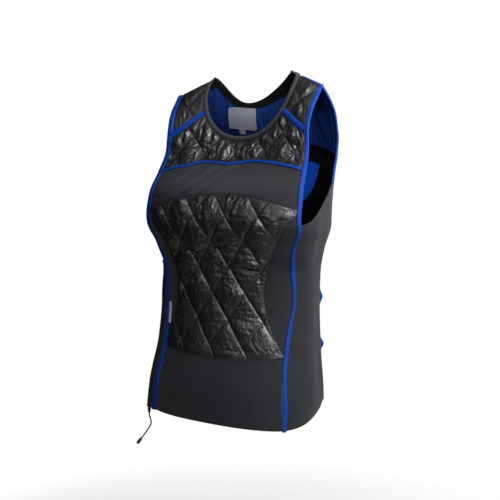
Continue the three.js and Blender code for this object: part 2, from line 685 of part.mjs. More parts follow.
// Blue bindings
const BINDING_ROWS = 40;
const zipBinding = uprightBinding(zipSeam, BINDING_ROWS, turnedBinding);
addSides("front_binding", uprightBinding(leftSeam, BINDING_ROWS), zipBinding, BLUE_BINDING);
addPair("back_binding", uprightBinding(backSeam, BINDING_ROWS - 6), BLUE_BINDING);
add("chest_band", levelBinding(chestBand, mirrored(zipSeamInner), leftSeamInner, 24), BLUE_BINDING);
const stripFrom = (neck) => levelBinding(shoulderStrip, widen(neck, NECK_CLEAR), leftSeamInner, 6);
addSides("shoulder_strip", stripFrom(leftNeck), stripFrom(rightNeck), BLUE_BINDING);

// Blue tape just behind each shoulder line, from the neck binding to the armhole binding
const ridgeAt = (x) => surface(angleAt(x, 1, SQUARE_FRONT), 1);
const TAPE_HALF = 3.4;
const TAPE_BACK = 2;
const TAPE_RISE = 0.4;
const TAPE_DEPTH = 2.6;
const TAPE_BEVEL = 1.2;
const TAPE_END_CLEAR = 1;
const TAPE_SECTION = [
  [-TAPE_HALF, -TAPE_BEVEL], [TAPE_BEVEL - TAPE_HALF, -TAPE_DEPTH], [TAPE_HALF - TAPE_BEVEL, -TAPE_DEPTH],
  [TAPE_HALF, -TAPE_BEVEL], [TAPE_HALF - TAPE_BEVEL, TAPE_RISE], [TAPE_BEVEL - TAPE_HALF, TAPE_RISE],
];
const TAPE_END = SECTIONS.at(-1)[SEAM_FRONT] - BINDING_CLEAR - TAPE_END_CLEAR;
const TAPE_STEPS = 4;
function shoulderTape(shift) {
  const start = shift + NECK_HALF + NECK_CLEAR + TAPE_END_CLEAR;
  const way = ridgeAt(TAPE_END).sub(ridgeAt(start)).normalize();
  const out = new THREE.Vector3(0, 0, 1).addScaledVector(way, -way.z).normalize();
  const across = out.clone().cross(way);
  const frames = [];
  for (let i = 0; i <= TAPE_STEPS; i += 1) {
    const at = ridgeAt(lerp(start, TAPE_END, i / TAPE_STEPS));
    at.y += TAPE_BACK;
    frames.push({ at, across, out });
  }
  return sweep(frames, TAPE_SECTION, false);
}
addSides("shoulder_tape", shoulderTape(NECK_SHIFT), shoulderTape(-NECK_SHIFT), BLUE_BINDING);

// Dark binding round the neck: along the front to the wearer's left, inwards along the shoulder line to
// the peak, round the back and out again; its corners are rounded by averaging along the loop
const NECK_FRONT_STEPS = 120;
const NECK_RIDGE_STEP = 2.5;
const NECK_BACK_STEPS = 84;
const NECK_AVERAGES = 6;
const neckSpots = [];
const signedPower = (value, power) => Math.sign(value) * Math.abs(value) ** power;
for (let i = 0; i < NECK_FRONT_STEPS; i += 1) {
  const turn = Math.PI * (i / NECK_FRONT_STEPS - 0.5);
  const x = NECK_SHIFT + NECK_HALF * signedPower(Math.sin(turn), 2 / NECK_ROUND);
  const drop = (NECK_WIDEST_Z - NECK_FLOOR_Z) * signedPower(Math.cos(turn), 2 / NECK_ROUND);
  neckSpots.push(spotAt(x, NECK_WIDEST_Z - drop, SQUARE_FRONT));
}
const ridgeSpot = (x) => spotAt(x, ridgeZ(x), SQUARE_FRONT);
const leftEnd = NECK_SHIFT + NECK_HALF;
const rightEnd = NECK_SHIFT - NECK_HALF;
for (let x = leftEnd; x > NECK_PEAK_X; x -= NECK_RIDGE_STEP) neckSpots.push(ridgeSpot(x));
for (let i = 0; i <= NECK_BACK_STEPS; i += 1) {
  neckSpots.push(backNeckSpot((Math.PI * i) / NECK_BACK_STEPS, 0));
}
for (let x = -NECK_PEAK_X - NECK_RIDGE_STEP; x > rightEnd; x -= NECK_RIDGE_STEP) {
  neckSpots.push(ridgeSpot(x));
}
const around = (list, i) => list[(i + list.length) % list.length];
function averaged(list) {
  return list.map((p, i) => around(list, i - 1).clone().add(around(list, i + 1)).addScaledVector(p, 2)
    .divideScalar(4));
}
const NECK_NORMAL_TOP = 0.99; // height share above which the normal turns too fast to follow
let neckPoints = neckSpots.map(({ phi, v }) => surface(phi, v));
let neckNormals = neckSpots.map(({ phi, v }) => tangents(phi, Math.min(v, NECK_NORMAL_TOP)).normal);
for (let i = 0; i < NECK_AVERAGES; i += 1) {
  neckPoints = averaged(neckPoints);
  neckNormals = averaged(neckNormals);
}

// Frames of the loop, closer where it bends more
const NECK_FRAME_LENGTH = 14;
const NECK_FRAME_BEND = radians(24);
const neckFrames = [];
let pace = 1;
neckPoints.forEach((at, i) => {
  const ahead = around(neckPoints, i + 1).clone().sub(at);
  const behind = at.clone().sub(around(neckPoints, i - 1));
  pace += behind.length() / NECK_FRAME_LENGTH + ahead.angleTo(behind) / NECK_FRAME_BEND;
  if (pace < 1) return;
  pace = 0;
  const along = ahead.clone().add(behind).normalize();
  const out = neckNormals[i].clone();
  out.addScaledVector(along, -out.dot(along)).normalize();
  neckFrames.push({ at, across: out.clone().cross(along), out });
});
const NECK_BINDING_HALF = BINDING_WIDTH / 2;
const NECK_SECTION = [
  [-NECK_BINDING_HALF, BINDING_EDGE_PROUD], [-NECK_BINDING_HALF, -BINDING_DEPTH],
  [NECK_BINDING_HALF, -BINDING_DEPTH], [NECK_BINDING_HALF, BINDING_EDGE_PROUD],
  [NECK_BINDING_HALF / 2, BINDING_PROUD], [-NECK_BINDING_HALF / 2, BINDING_PROUD],
];
add("neck_binding", sweep(neckFrames, NECK_SECTION, true), BLACK_BINDING);

// Blue facing that shows inside each armhole behind the front binding, tapering downwards; its top edge
// tilts down to the back and its free edge stands inwards
const FACING_TOP_Z = -156;
const FACING_TOP_Y = -70;
const FACING_TILT = 0.25;
const FACING_LOW_Z = -228;
const FACING_WIDTH = 100;
const FACING_TIP = 4;
const FACING_DIVE = 4;
const facingOuter = (v) => {
  const p = surface(leftSeam(v), v);
  const share = clamp((p.z - FACING_LOW_Z) / (FACING_TOP_Z - FACING_LOW_Z), 0, 1.3);
  return widen(leftSeam, lerp(FACING_TIP, FACING_WIDTH, share))(v);
};
const FACING_OUTER = -(BINDING_DEPTH + LAYER_GAP);
addPair("armhole_facing", panel(borders({
  left: widen(leftSeam, -BINDING_WIDTH / 4),
  right: facingOuter,
  bottom: levelEdge(() => FACING_LOW_Z),
  top: levelEdge((x, y) => FACING_TOP_Z - FACING_TILT * (y - FACING_TOP_Y)),
  low: 0.45,
  high: 0.55,
}), {
  outer: (s) => FACING_OUTER - FACING_DIVE * s,
  inner: (s) => FACING_OUTER - FACING_DIVE * s - LINING_WALL,
  cols: 3,
  rows: 5,
}), BLUE_LINING);

// Labels: a blank one with a size tab inside the back neck, and a care label in the right front seam
const LABEL_WIDTH = 64;
const LABEL_HEIGHT = 37;
const LABEL_X = -32;
const LABEL_TOP_Z = -55;
const LABEL_TILT = radians(6); // down to the wearer's left
const LABEL_OUTER = LINING_INNER - 2 * LAYER_GAP;
// Spot at a distance along the label's upper edge from its middle, and at a height above that edge
function labelSpot(along, up) {
  const x = LABEL_X + along * Math.cos(LABEL_TILT) + up * Math.sin(LABEL_TILT);
  const z = LABEL_TOP_Z - along * Math.sin(LABEL_TILT) + up * Math.cos(LABEL_TILT);
  const spot = spotAt(x, z, SQUARE_BACK);
  return { phi: spot.phi < 0 ? spot.phi + 2 * Math.PI : spot.phi, v: spot.v };
}
function backPatch(middle, top, width, height, size) {
  const east = middle + width / 2;
  const west = middle - width / 2;
  const low = top - height;
  const run = (fromAlong, fromUp, toAlong, toUp) => (t) => labelSpot(
    lerp(fromAlong, toAlong, t),
    lerp(fromUp, toUp, t),
  );
  return panel({
    bottom: run(east, low, west, low),
    top: run(east, top, west, top),
    left: run(east, low, east, top),
    right: run(west, low, west, top),
  }, size);
}
const labelCloth = { outer: flat(LABEL_OUTER), inner: flat(LABEL_OUTER - LABEL_WALL) };
const labelGrid = { ...labelCloth, cols: 4, rows: 3 };
add("neck_label", backPatch(0, 0, LABEL_WIDTH, LABEL_HEIGHT, labelGrid), WHITE_LABEL);
const TAB_WIDTH = 13;
const TAB_HEIGHT = 8;
const TAB_SHIFT = -2;
add("size_tab", backPatch(TAB_SHIFT, -LABEL_HEIGHT - SEAM_GAP, TAB_WIDTH, TAB_HEIGHT,
  { ...labelCloth, cols: 2, rows: 1 }), WHITE_LABEL);

const CARE_TOP_Z = -414;
const CARE_HEIGHT = 38;
const CARE_WIDTH = 8;
add("care_label", otherSide(panel(borders({
  left: widen(zipSeam, -BINDING_CLEAR - CARE_WIDTH),
  right: zipSeamInner,
  bottom: levelEdge(() => CARE_TOP_Z - CARE_HEIGHT),
  top: levelEdge(() => CARE_TOP_Z),
  low: 0.15,
  high: 0.25,
}), { outer: flat(LAYER_GAP + LABEL_WALL), inner: flat(LAYER_GAP), cols: 1, rows: 4 })), WHITE_LABEL);

// Zip along the wearer's right front seam: a tape that stands off the side panel, with its chain
const ZIP_TOP_Z = -336;
const ZIP_WIDTH = 13;
const ZIP_HALF_WALL = 0.8;
const ZIP_CHAIN_RISE = 1.4;
const ZIP_FLARE = radians(10);
const ZIP_STEPS = 20;
const ZIP_LIFT = 1.4;
const ZIP_CHAIN_SHARE = 0.64; // of the tape's width
const ZIP_CHAIN_HALF = 2.4;
const ZIP_CHAIN_BEVEL = 1;
const zipEdge = widen(zipSeam, BINDING_CLEAR);
const zipTopV = levelEdge(() => ZIP_TOP_Z)(radians(60));
const zipLowV = corner(zipEdge, hem, 0.05).v;
const zipFrames = [];
for (let i = 0; i <= ZIP_STEPS; i += 1) {
  const v = lerp(zipTopV, zipLowV, i / ZIP_STEPS);
  const phi = zipEdge(v);
  const { alongPhi, normal } = tangents(phi, v);
  const away = alongPhi.normalize();
  const level = Math.cos(ZIP_FLARE);
  const tilt = Math.sin(ZIP_FLARE);
  const across = away.clone().multiplyScalar(level).addScaledVector(normal, tilt);
  const out = normal.clone().multiplyScalar(level).addScaledVector(away, -tilt);
  const lift = ZIP_LIFT + ZIP_TURN * drawn(v);
  zipFrames.push({ at: surface(phi, v).addScaledVector(normal, lift), across, out });
}
const chainAt = ZIP_WIDTH * ZIP_CHAIN_SHARE;
const chainTop = ZIP_CHAIN_HALF - ZIP_CHAIN_BEVEL;
const ZIP_SECTION = [
  [0, ZIP_HALF_WALL], [0, -ZIP_HALF_WALL], [ZIP_WIDTH, -ZIP_HALF_WALL], [ZIP_WIDTH, ZIP_HALF_WALL],
  [chainAt + ZIP_CHAIN_HALF, ZIP_HALF_WALL], [chainAt + chainTop, ZIP_HALF_WALL + ZIP_CHAIN_RISE],
  [chainAt - chainTop, ZIP_HALF_WALL + ZIP_CHAIN_RISE], [chainAt - ZIP_CHAIN_HALF, ZIP_HALF_WALL],
];
add("side_zip", otherSide(sweep(zipFrames, ZIP_SECTION, false)), BLACK_CORD);

// Slider under the closed end of the zip, and the cord that hangs from it
const SLIDER_WIDTH = 8;
const SLIDER_HEIGHT = 11;
const SLIDER_DEPTH = 4.6;
const SLIDER_BEVEL = 0.8;
const SLIDER_NOSE = 0.64; // lower width as a share of the upper one
const SLIDER_DROP = 0.2; // under the end of the zip
const CORD_GAP = 0.1; // between the slider, the cord and its end, which meet face to face
const SLIDER_TURN = radians(-62); // about the upright, to face as the zip does
const zipEnd = zipFrames.at(-1);
const sliderTop = zipEnd.at.clone().addScaledVector(zipEnd.across, chainAt);
const sliderHalf = SLIDER_WIDTH / 2;
const sliderOutline = new THREE.Shape([
  new THREE.Vector2(-sliderHalf, 0), new THREE.Vector2(-sliderHalf * SLIDER_NOSE, -SLIDER_HEIGHT),
  new THREE.Vector2(sliderHalf * SLIDER_NOSE, -SLIDER_HEIGHT), new THREE.Vector2(sliderHalf, 0),
]);
const sliderBody = new THREE.ExtrudeGeometry(sliderOutline, {
  depth: SLIDER_DEPTH - 2 * SLIDER_BEVEL, bevelEnabled: true, bevelThickness: SLIDER_BEVEL,
  bevelSize: SLIDER_BEVEL, bevelOffset: -SLIDER_BEVEL, bevelSegments: 1,
});
sliderBody.translate(0, 0, SLIDER_BEVEL - SLIDER_DEPTH / 2);
const sliderMesh = new THREE.Mesh(sliderBody, BLACK_METAL);
sliderMesh.name = "zip_slider";
const SLIDER_SEAT = new THREE.Vector3(-sliderTop.x, sliderTop.y, sliderTop.z - SLIDER_DROP);
sliderMesh.rotation.set(Math.PI / 2, 0, SLIDER_TURN, "ZXY");
sliderMesh.position.copy(SLIDER_SEAT);
top.add(sliderMesh);

// Route of the pull cord from the slider, as steps to the wearer's left, backwards and up
const CORD_RADIUS = 1.4;
const CORD_START = SLIDER_SEAT.clone().add(new THREE.Vector3(0, 0, -SLIDER_HEIGHT - CORD_GAP));
const CORD_ROUTE = [
  [0, 0, 0], [0, 0, -5], [1.8, 1.2, -12], [2.6, 1.8, -18], [1.4, 1.0, -24], [-1.4, -1.0, -30],
  [-4.6, -3.2, -36], [-8.2, -5.8, -42], [-12.0, -8.4, -48],
].map(([x, y, z]) => new THREE.Vector3(x, y, z).add(CORD_START));
const cordCurve = new THREE.CatmullRomCurve3(CORD_ROUTE);
const CORD_SIDES = 8;
const CORD_STEPS = 12;
const ring = (radius) => new THREE.Shape(Array.from({ length: CORD_SIDES }, (_, i) => {
  const turn = (2 * Math.PI * i) / CORD_SIDES;
  return new THREE.Vector2(radius * Math.cos(turn), radius * Math.sin(turn));
}));
add("pull_cord", new THREE.ExtrudeGeometry(ring(CORD_RADIUS), { steps: CORD_STEPS, extrudePath: cordCurve }),
  BLACK_CORD);

// Moulded end of the pull, a round drop in line with the cord: radius and distance from the cord's end
const PULL_PROFILE = [[0, 0], [1.8, 0], [2.6, 3], [3.2, 9], [2.6, 13], [0, 14]];
const PULL_SIDES = 10;
const pullEnd = new THREE.Mesh(
  new THREE.LatheGeometry(PULL_PROFILE.map(([r, h]) => new THREE.Vector2(r, h)), PULL_SIDES),
  BLACK_CORD,
);
pullEnd.name = "pull_end";
const cordEnd = CORD_ROUTE.at(-1);
const cordWay = cordCurve.getTangent(1);
pullEnd.quaternion.setFromUnitVectors(new THREE.Vector3(0, 1, 0), cordWay);
pullEnd.position.copy(cordEnd).addScaledVector(cordWay, CORD_GAP);
top.add(pullEnd);

export default top;
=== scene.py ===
# %% [markdown]
# The tank top is a sleeveless top for hot work places: quilted panels soak up water and cool the
# wearer as it dries, and matte stretch panels between them let the body move. This lesson dresses
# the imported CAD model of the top. The CAD solids keep the sizes and the places, and every visible
# cloth is made here again as a fine mesh on the same surface, with its padding, folds and stitches.

# %% Load the frame
import math
import bpy
import numpy as np
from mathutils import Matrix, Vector


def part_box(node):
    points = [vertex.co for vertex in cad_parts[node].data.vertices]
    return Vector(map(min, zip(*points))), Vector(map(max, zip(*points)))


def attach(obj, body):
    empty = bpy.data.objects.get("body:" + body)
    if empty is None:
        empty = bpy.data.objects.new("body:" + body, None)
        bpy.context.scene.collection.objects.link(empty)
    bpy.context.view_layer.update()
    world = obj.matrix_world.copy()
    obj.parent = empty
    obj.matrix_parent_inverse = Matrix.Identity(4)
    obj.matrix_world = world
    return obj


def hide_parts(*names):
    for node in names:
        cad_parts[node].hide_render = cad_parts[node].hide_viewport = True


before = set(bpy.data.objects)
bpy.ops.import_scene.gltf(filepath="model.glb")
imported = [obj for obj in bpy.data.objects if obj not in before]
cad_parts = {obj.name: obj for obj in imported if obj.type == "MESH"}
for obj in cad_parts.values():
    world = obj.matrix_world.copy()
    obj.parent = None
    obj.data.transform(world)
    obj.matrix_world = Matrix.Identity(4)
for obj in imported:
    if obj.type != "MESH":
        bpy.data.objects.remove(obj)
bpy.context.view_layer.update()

MM = 0.001
RANDOM = np.random.default_rng(7)

# %% [markdown]
# The camera stands where the photographer stood: a little to the wearer's left of the front, just
# above the waist, far enough away for a mild perspective. A camera is three numbers on a sphere and
# a lens, so it is placed by angle and distance, and its back vector turns into a rotation.

# %% Camera
AZIMUTH = math.radians(35)
ELEVATION = math.radians(4)
DISTANCE = 1.59
AIM = Vector((-0.0004, -0.0003, -0.318))
LENS = 62.1
SENSOR = 36

back = Vector((math.sin(AZIMUTH) * math.cos(ELEVATION), -math.cos(AZIMUTH) * math.cos(ELEVATION),
               math.sin(ELEVATION)))
camera_data = bpy.data.cameras.new("camera")
camera_data.lens = LENS
camera_data.sensor_width = SENSOR
camera = bpy.data.objects.new("camera", camera_data)
bpy.context.collection.objects.link(camera)
camera.location = AIM + back * DISTANCE
camera.rotation_euler = back.to_track_quat("Z", "Y").to_euler()
bpy.context.scene.camera = camera
print("camera at", [round(x, 3) for x in camera.location])

# %% [markdown]
# A cloth needs many small faces, so meshes are made from arrays of points. A few small helpers come
# first: directions of unit length, a soft step between two values, the way along a path, and the
# faces of a grid. The UV map "cloth" holds lengths in decimetres, so a weave has the same scale on
# every piece.

# %% Mesh helpers
UV_UNIT = 100.0
SMOOTH_BELOW = math.radians(55)


def unit(vectors):
    return vectors / np.linalg.norm(vectors, axis=-1, keepdims=True)


def smoothstep(x, low, high):
    t = np.clip((x - low) / (high - low), 0, 1)
    return t * t * (3 - 2 * t)


def way_along(points):
    """Length of a path from its first point to each of its points."""
    return np.concatenate([[0], np.cumsum(np.linalg.norm(np.diff(points, axis=0), axis=1))])


def quads(index):
    """The faces of a grid of point numbers."""
    return np.stack([index[:-1, :-1], index[:-1, 1:], index[1:, 1:], index[1:, :-1]], -1).reshape(-1, 4)


def make_object(name, points, faces, uvs, materials, face_materials=None):
    """A smooth mesh object from points in millimetres, faces and one UV pair for each point."""
    mesh = bpy.data.meshes.new(name)
    mesh.from_pydata((np.asarray(points) * MM).tolist(), [], faces)
    layer = mesh.uv_layers.new(name="cloth")
    corners = np.zeros(len(mesh.loops), np.int32)
    mesh.loops.foreach_get("vertex_index", corners)
    layer.data.foreach_set("uv", (np.asarray(uvs)[corners] / UV_UNIT).astype(np.float32).ravel())
    for material in materials:
        mesh.materials.append(material)
    if face_materials is not None:
        mesh.polygons.foreach_set("material_index", np.asarray(face_materials, np.int32))
    mesh.shade_smooth()
    mesh.set_sharp_from_angle(angle=SMOOTH_BELOW)
    piece = bpy.data.objects.new(name, mesh)
    bpy.context.collection.objects.link(piece)
    return piece


print("one UV unit is", UV_UNIT, "mm")

# %% [markdown]
# Two kinds of mesh cover all the pieces. A closed sheet is two grids joined round their border, which
# gives a cloth a real thickness. A sweep carries one section along a path, which makes cords, tapes
# and bindings. Many small tubes, such as stitches, are joined to one object.

# %% Sheets and sweeps
def closed_sheet(name, outer, inner, uv, materials):
    """Two skins of rows x cols points and the walls between them; the last material lies inside."""
    rows, cols = outer.shape[:2]
    index = np.arange(rows * cols).reshape(rows, cols)
    front = quads(index)
    rear = front[:, (0, 3, 2, 1)] + rows * cols
    ring = np.concatenate([index[0, :-1], index[:-1, -1], index[-1, :0:-1], index[:0:-1, 0]])
    after = np.roll(ring, -1)
    wall = np.stack([ring, ring + rows * cols, after + rows * cols, after], -1)
    faces = np.concatenate([front, wall, rear])
    inside = np.zeros(len(faces), int)
    inside[len(front) + len(wall):] = len(materials) - 1
    points = np.concatenate([outer.reshape(-1, 3), inner.reshape(-1, 3)])
    uvs = np.concatenate([uv.reshape(-1, 2), uv.reshape(-1, 2)])
    return make_object(name, points, faces.tolist(), uvs, materials, inside)


def tube_faces(index, closed=False):
    """Faces round a tube of point numbers (rings x points), with caps where it isn't closed."""
    turn = np.roll(index, -1, axis=1)
    start, end = (index, np.roll(index, -1, axis=0)) if closed else (index[:-1], index[1:])
    turn_start, turn_end = (turn, np.roll(turn, -1, axis=0)) if closed else (turn[:-1], turn[1:])
    faces = np.stack([start, turn_start, turn_end, end], -1).reshape(-1, 4).tolist()
    return faces if closed else [*faces, index[0, ::-1].tolist(), index[-1].tolist()]


def sweep(name, rings, closed, materials, side_materials=None):
    """A tube through rings of points (rings x points x 3)."""
    count, sides = rings.shape[:2]
    faces = tube_faces(np.arange(count * sides).reshape(count, sides), closed)
    along = way_along(rings.mean(1))
    across = np.cumsum(np.linalg.norm(rings[0] - np.roll(rings[0], 1, axis=0), axis=1))
    uvs = np.stack(np.broadcast_arrays(along[:, None], across[None, :]), -1).reshape(-1, 2)
    face_materials = None if side_materials is None else np.tile(side_materials, len(faces) // sides)
    return make_object(name, rings.reshape(-1, 3), faces, uvs, materials, face_materials)


def joined(name, tubes, material):
    """One object from many small tubes (rings x points x 3)."""
    faces, count = [], 0
    for rings in tubes:
        steps, sides = rings.shape[:2]
        faces.extend(tube_faces(np.arange(steps * sides).reshape(steps, sides) + count))
        count += steps * sides
    points = np.concatenate([rings.reshape(-1, 3) for rings in tubes])
    return make_object(name, points, faces, points[:, [0, 2]], [material])


print("a tube of 3 rings of 4 points has", len(tube_faces(np.arange(12).reshape(3, 4))), "faces")

# %% [markdown]
# Every finish here is a cloth, and cloths share a few effects: crossing threads, knitted loops, a
# crumpled surface and uneven dye. Each effect is built once as a shader node group with named
# sockets, and every material places it with its own values. These helpers make an empty group and
# the nodes that the groups use most.

# %% Node group helpers
FLOAT = "NodeSocketFloat"
VECTOR = "NodeSocketVector"
COLOUR = "NodeSocketColor"


def new_group(name, inputs, outputs):
    """An empty shader node group; inputs are name, socket type and default."""
    tree = bpy.data.node_groups.new(name, "ShaderNodeTree")
    for label, kind, default in inputs:
        socket = tree.interface.new_socket(name=label, in_out="INPUT", socket_type=kind)
        if default is not None:
            socket.default_value = default
    for label, kind in outputs:
        tree.interface.new_socket(name=label, in_out="OUTPUT", socket_type=kind)
    return tree, tree.nodes.new("NodeGroupInput").outputs, tree.nodes.new("NodeGroupOutput").inputs


def feed(tree, socket, value):
    """Set a socket to a number, or link another node's output to it."""
    if isinstance(value, (int, float)):
        socket.default_value = value
    else:
        tree.links.new(value, socket)


def math_node(tree, operation, *values):
    node = tree.nodes.new("ShaderNodeMath")
    node.operation = operation
    for socket, value in zip(node.inputs, values):
        feed(tree, socket, value)
    return node.outputs[0]


def noise_node(tree, vector, scale, detail, roughness):
    node = tree.nodes.new("ShaderNodeTexNoise")
    tree.links.new(vector, node.inputs["Vector"])
    for name, value in (("Scale", scale), ("Detail", detail), ("Roughness", roughness)):
        feed(tree, node.inputs[name], value)
    return node.outputs["Fac"]


def wave_node(tree, vector, scale, direction):
    node = tree.nodes.new("ShaderNodeTexWave")
    node.bands_direction = direction
    tree.links.new(vector, node.inputs["Vector"])
    tree.links.new(scale, node.inputs["Scale"])
    return node.outputs["Fac"]


print("socket types:", FLOAT, VECTOR, COLOUR)

# %% [markdown]
# The groups read the UV map in decimetres, so a thread count is threads in each decimetre. A weave
# is two sets of waves that cross, and a knit is upright rows of loops with a slant on top. A crumple
# is noise folded at its middle value, which makes crests, and finer noise over it. A dye lightens
# and darkens a colour in clouds and in a fine grain.

# %% Weave, knit, crumple and dye groups
SLANT_SHARE = 0.6
FINE_SCALE = 4.0
FINE_SHARE = 0.25
CLOUD_SHARE = 0.6


def weave_group():
    tree, given, out = new_group("weave", [("Vector", VECTOR, None), ("Threads", FLOAT, 200.0)],
                                 [("Height", FLOAT)])
    warp = wave_node(tree, given["Vector"], given["Threads"], "X")
    weft = wave_node(tree, given["Vector"], given["Threads"], "Y")
    tree.links.new(math_node(tree, "MULTIPLY", warp, weft), out["Height"])
    return tree


def knit_group():
    tree, given, out = new_group("knit", [("Vector", VECTOR, None), ("Loops", FLOAT, 120.0)],
                                 [("Height", FLOAT)])
    wales = wave_node(tree, given["Vector"], given["Loops"], "X")
    slant = wave_node(tree, given["Vector"], given["Loops"], "DIAGONAL")
    weak_slant = math_node(tree, "MULTIPLY", slant, SLANT_SHARE)
    tree.links.new(math_node(tree, "ADD", wales, weak_slant), out["Height"])
    return tree


def crumple_group():
    tree, given, out = new_group("crumple", [("Vector", VECTOR, None), ("Scale", FLOAT, 14.0)],
                                 [("Height", FLOAT), ("Wear", FLOAT)])
    broad = noise_node(tree, given["Vector"], given["Scale"], detail=3.0, roughness=0.55)
    fine_scale = math_node(tree, "MULTIPLY", given["Scale"], FINE_SCALE)
    fine = noise_node(tree, given["Vector"], fine_scale, detail=2.0, roughness=0.5)
    ridge = math_node(tree, "ABSOLUTE", math_node(tree, "SUBTRACT", broad, 0.5))
    crest = math_node(tree, "SUBTRACT", 0.5, ridge)
    weak_fine = math_node(tree, "MULTIPLY", fine, FINE_SHARE)
    tree.links.new(math_node(tree, "ADD", crest, weak_fine), out["Height"])
    tree.links.new(fine, out["Wear"])
    return tree


def dye_group():
    tree, given, out = new_group("dye", [("Vector", VECTOR, None), ("Colour", COLOUR, (1, 1, 1, 1)),
                                         ("Spread", FLOAT, 0.2)], [("Colour", COLOUR)])
    cloud = noise_node(tree, given["Vector"], scale=3.0, detail=4.0, roughness=0.6)
    fibre = noise_node(tree, given["Vector"], scale=60.0, detail=2.0, roughness=0.6)
    cloud_part = math_node(tree, "MULTIPLY", cloud, CLOUD_SHARE)
    fibre_part = math_node(tree, "MULTIPLY", fibre, 1 - CLOUD_SHARE)
    both = math_node(tree, "ADD", cloud_part, fibre_part)
    swing = math_node(tree, "MULTIPLY", math_node(tree, "SUBTRACT", both, 0.5), given["Spread"])
    gain = math_node(tree, "ADD", math_node(tree, "MULTIPLY", swing, 2.0), 1.0)
    tint = tree.nodes.new("ShaderNodeVectorMath")
    tint.operation = "SCALE"
    tree.links.new(given["Colour"], tint.inputs[0])
    tree.links.new(gain, tint.inputs["Scale"])
    tree.links.new(tint.outputs[0], out["Colour"])
    return tree


WEAVE = weave_group()
KNIT = knit_group()
CRUMPLE = crumple_group()
DYE = dye_group()
print("node groups:", [group.name for group in (WEAVE, KNIT, CRUMPLE, DYE)])

# %% [markdown]
# A cloth material is then short: dyed colour, roughness that changes a little with the crumple, and
# one bump chain in which the large creases come first and the threads sit on top of them. Gloss,
# sheen and specular level are the same all over, so they are set on the shader's own sockets.

# %% Making a cloth material
CREASE_HEIGHT = 0.004
THREAD_HEIGHT = 0.0004
SHEEN_ROUGHNESS = 0.5


def place_group(tree, group, vector, **values):
    node = tree.nodes.new("ShaderNodeGroup")
    node.node_tree = group
    tree.links.new(vector, node.inputs["Vector"])
    for name, value in values.items():
        node.inputs[name].default_value = value
    return node


def bump_node(tree, height, strength, distance, normal=None):
    node = tree.nodes.new("ShaderNodeBump")
    node.inputs["Strength"].default_value = strength
    node.inputs["Distance"].default_value = distance
    tree.links.new(height, node.inputs["Height"])
    if normal is not None:
        tree.links.new(normal, node.inputs["Normal"])
    return node.outputs["Normal"]


def cloth_material(name, colour, roughness, threads, structure=WEAVE, thread_depth=0.25, crumple=0.3,
                   crumple_scale=14.0, spread=0.25, rough_swing=0.12, sheen=0.0, specular=0.5,
                   ior=1.5, metallic=0.0):
    material = bpy.data.materials.new(name)
    material.use_nodes = True
    tree = material.node_tree
    shader = tree.nodes["Principled BSDF"]
    uv = tree.nodes.new("ShaderNodeUVMap")
    uv.uv_map = "cloth"
    vector = uv.outputs["UV"]
    dye = place_group(tree, DYE, vector, Colour=(*colour, 1), Spread=spread)
    tree.links.new(dye.outputs["Colour"], shader.inputs["Base Color"])
    creases = place_group(tree, CRUMPLE, vector, Scale=crumple_scale)
    wear = math_node(tree, "SUBTRACT", creases.outputs["Wear"], 0.5)
    swing = math_node(tree, "MULTIPLY", wear, rough_swing * 2)
    tree.links.new(math_node(tree, "ADD", swing, roughness), shader.inputs["Roughness"])
    count = {"weave": "Threads", "knit": "Loops"}[structure.name]
    threads_node = place_group(tree, structure, vector, **{count: threads})
    normal = bump_node(tree, creases.outputs["Height"], crumple, CREASE_HEIGHT)
    normal = bump_node(tree, threads_node.outputs["Height"], thread_depth, THREAD_HEIGHT, normal)
    tree.links.new(normal, shader.inputs["Normal"])
    for socket, value in (("Sheen Weight", sheen), ("Sheen Roughness", SHEEN_ROUGHNESS), ("IOR", ior),
                          ("Specular IOR Level", specular), ("Metallic", metallic)):
        shader.inputs[socket].default_value = value
    return material


print("cloth bumps up to", CREASE_HEIGHT * 1000, "mm")

# %% [markdown]
# The finishes: smooth black nylon with a soft gloss, matte charcoal knit, royal blue tape, deep blue
# lining, black rib for the neck, and white woven labels. The labels in the neck are painted grey,
# which is painted shade, and a near-black knit is painted shade on the insides of the collar and the
# back. The facings in the armholes catch the light directly, so they are the lining cloth painted a
# deeper blue, as painted shade.

# %% Cloth materials
QUILTED_NYLON = cloth_material("quilted_nylon", (0.0095, 0.0098, 0.0115), 0.41, 220, crumple=0.3,
                               rough_swing=0.06, crumple_scale=18.0, specular=0.95, ior=1.6)
STRETCH_JERSEY = cloth_material("stretch_jersey", (0.0138, 0.0150, 0.0196), 0.8, 110, KNIT,
                                thread_depth=0.35, crumple=0.08, sheen=0.1, specular=0.25)
BLUE_BINDING = cloth_material("blue_binding", (0.003, 0.041, 0.28), 0.62, 160, thread_depth=0.4,
                              crumple=0.2, specular=0.15)
BLUE_LINING = cloth_material("blue_lining", (0.010, 0.036, 0.19), 0.62, 240, crumple=0.7, specular=0.12)
# Painted shade: the lining cloth painted a deeper blue for the armhole facings.
SHADE_PAINTED_FACING_CLOTH = cloth_material("facing_cloth", (0.0003, 0.0115, 0.088), 0.7, 240, crumple=0.5, specular=0.02)
BLACK_BINDING = cloth_material("black_binding", (0.025, 0.026, 0.031), 0.75, 120, KNIT,
                               thread_depth=0.4, crumple=0.15, sheen=0.1, specular=0.3)
# Painted shade: a near-black knit for cloth that lies in shade inside the collar and the back.
SHADE_PAINTED_KNIT = cloth_material("shade_painted_knit", (0.004, 0.004, 0.0045), 0.8, 120, KNIT,
                               thread_depth=0.4, crumple=0.15, specular=0.15)
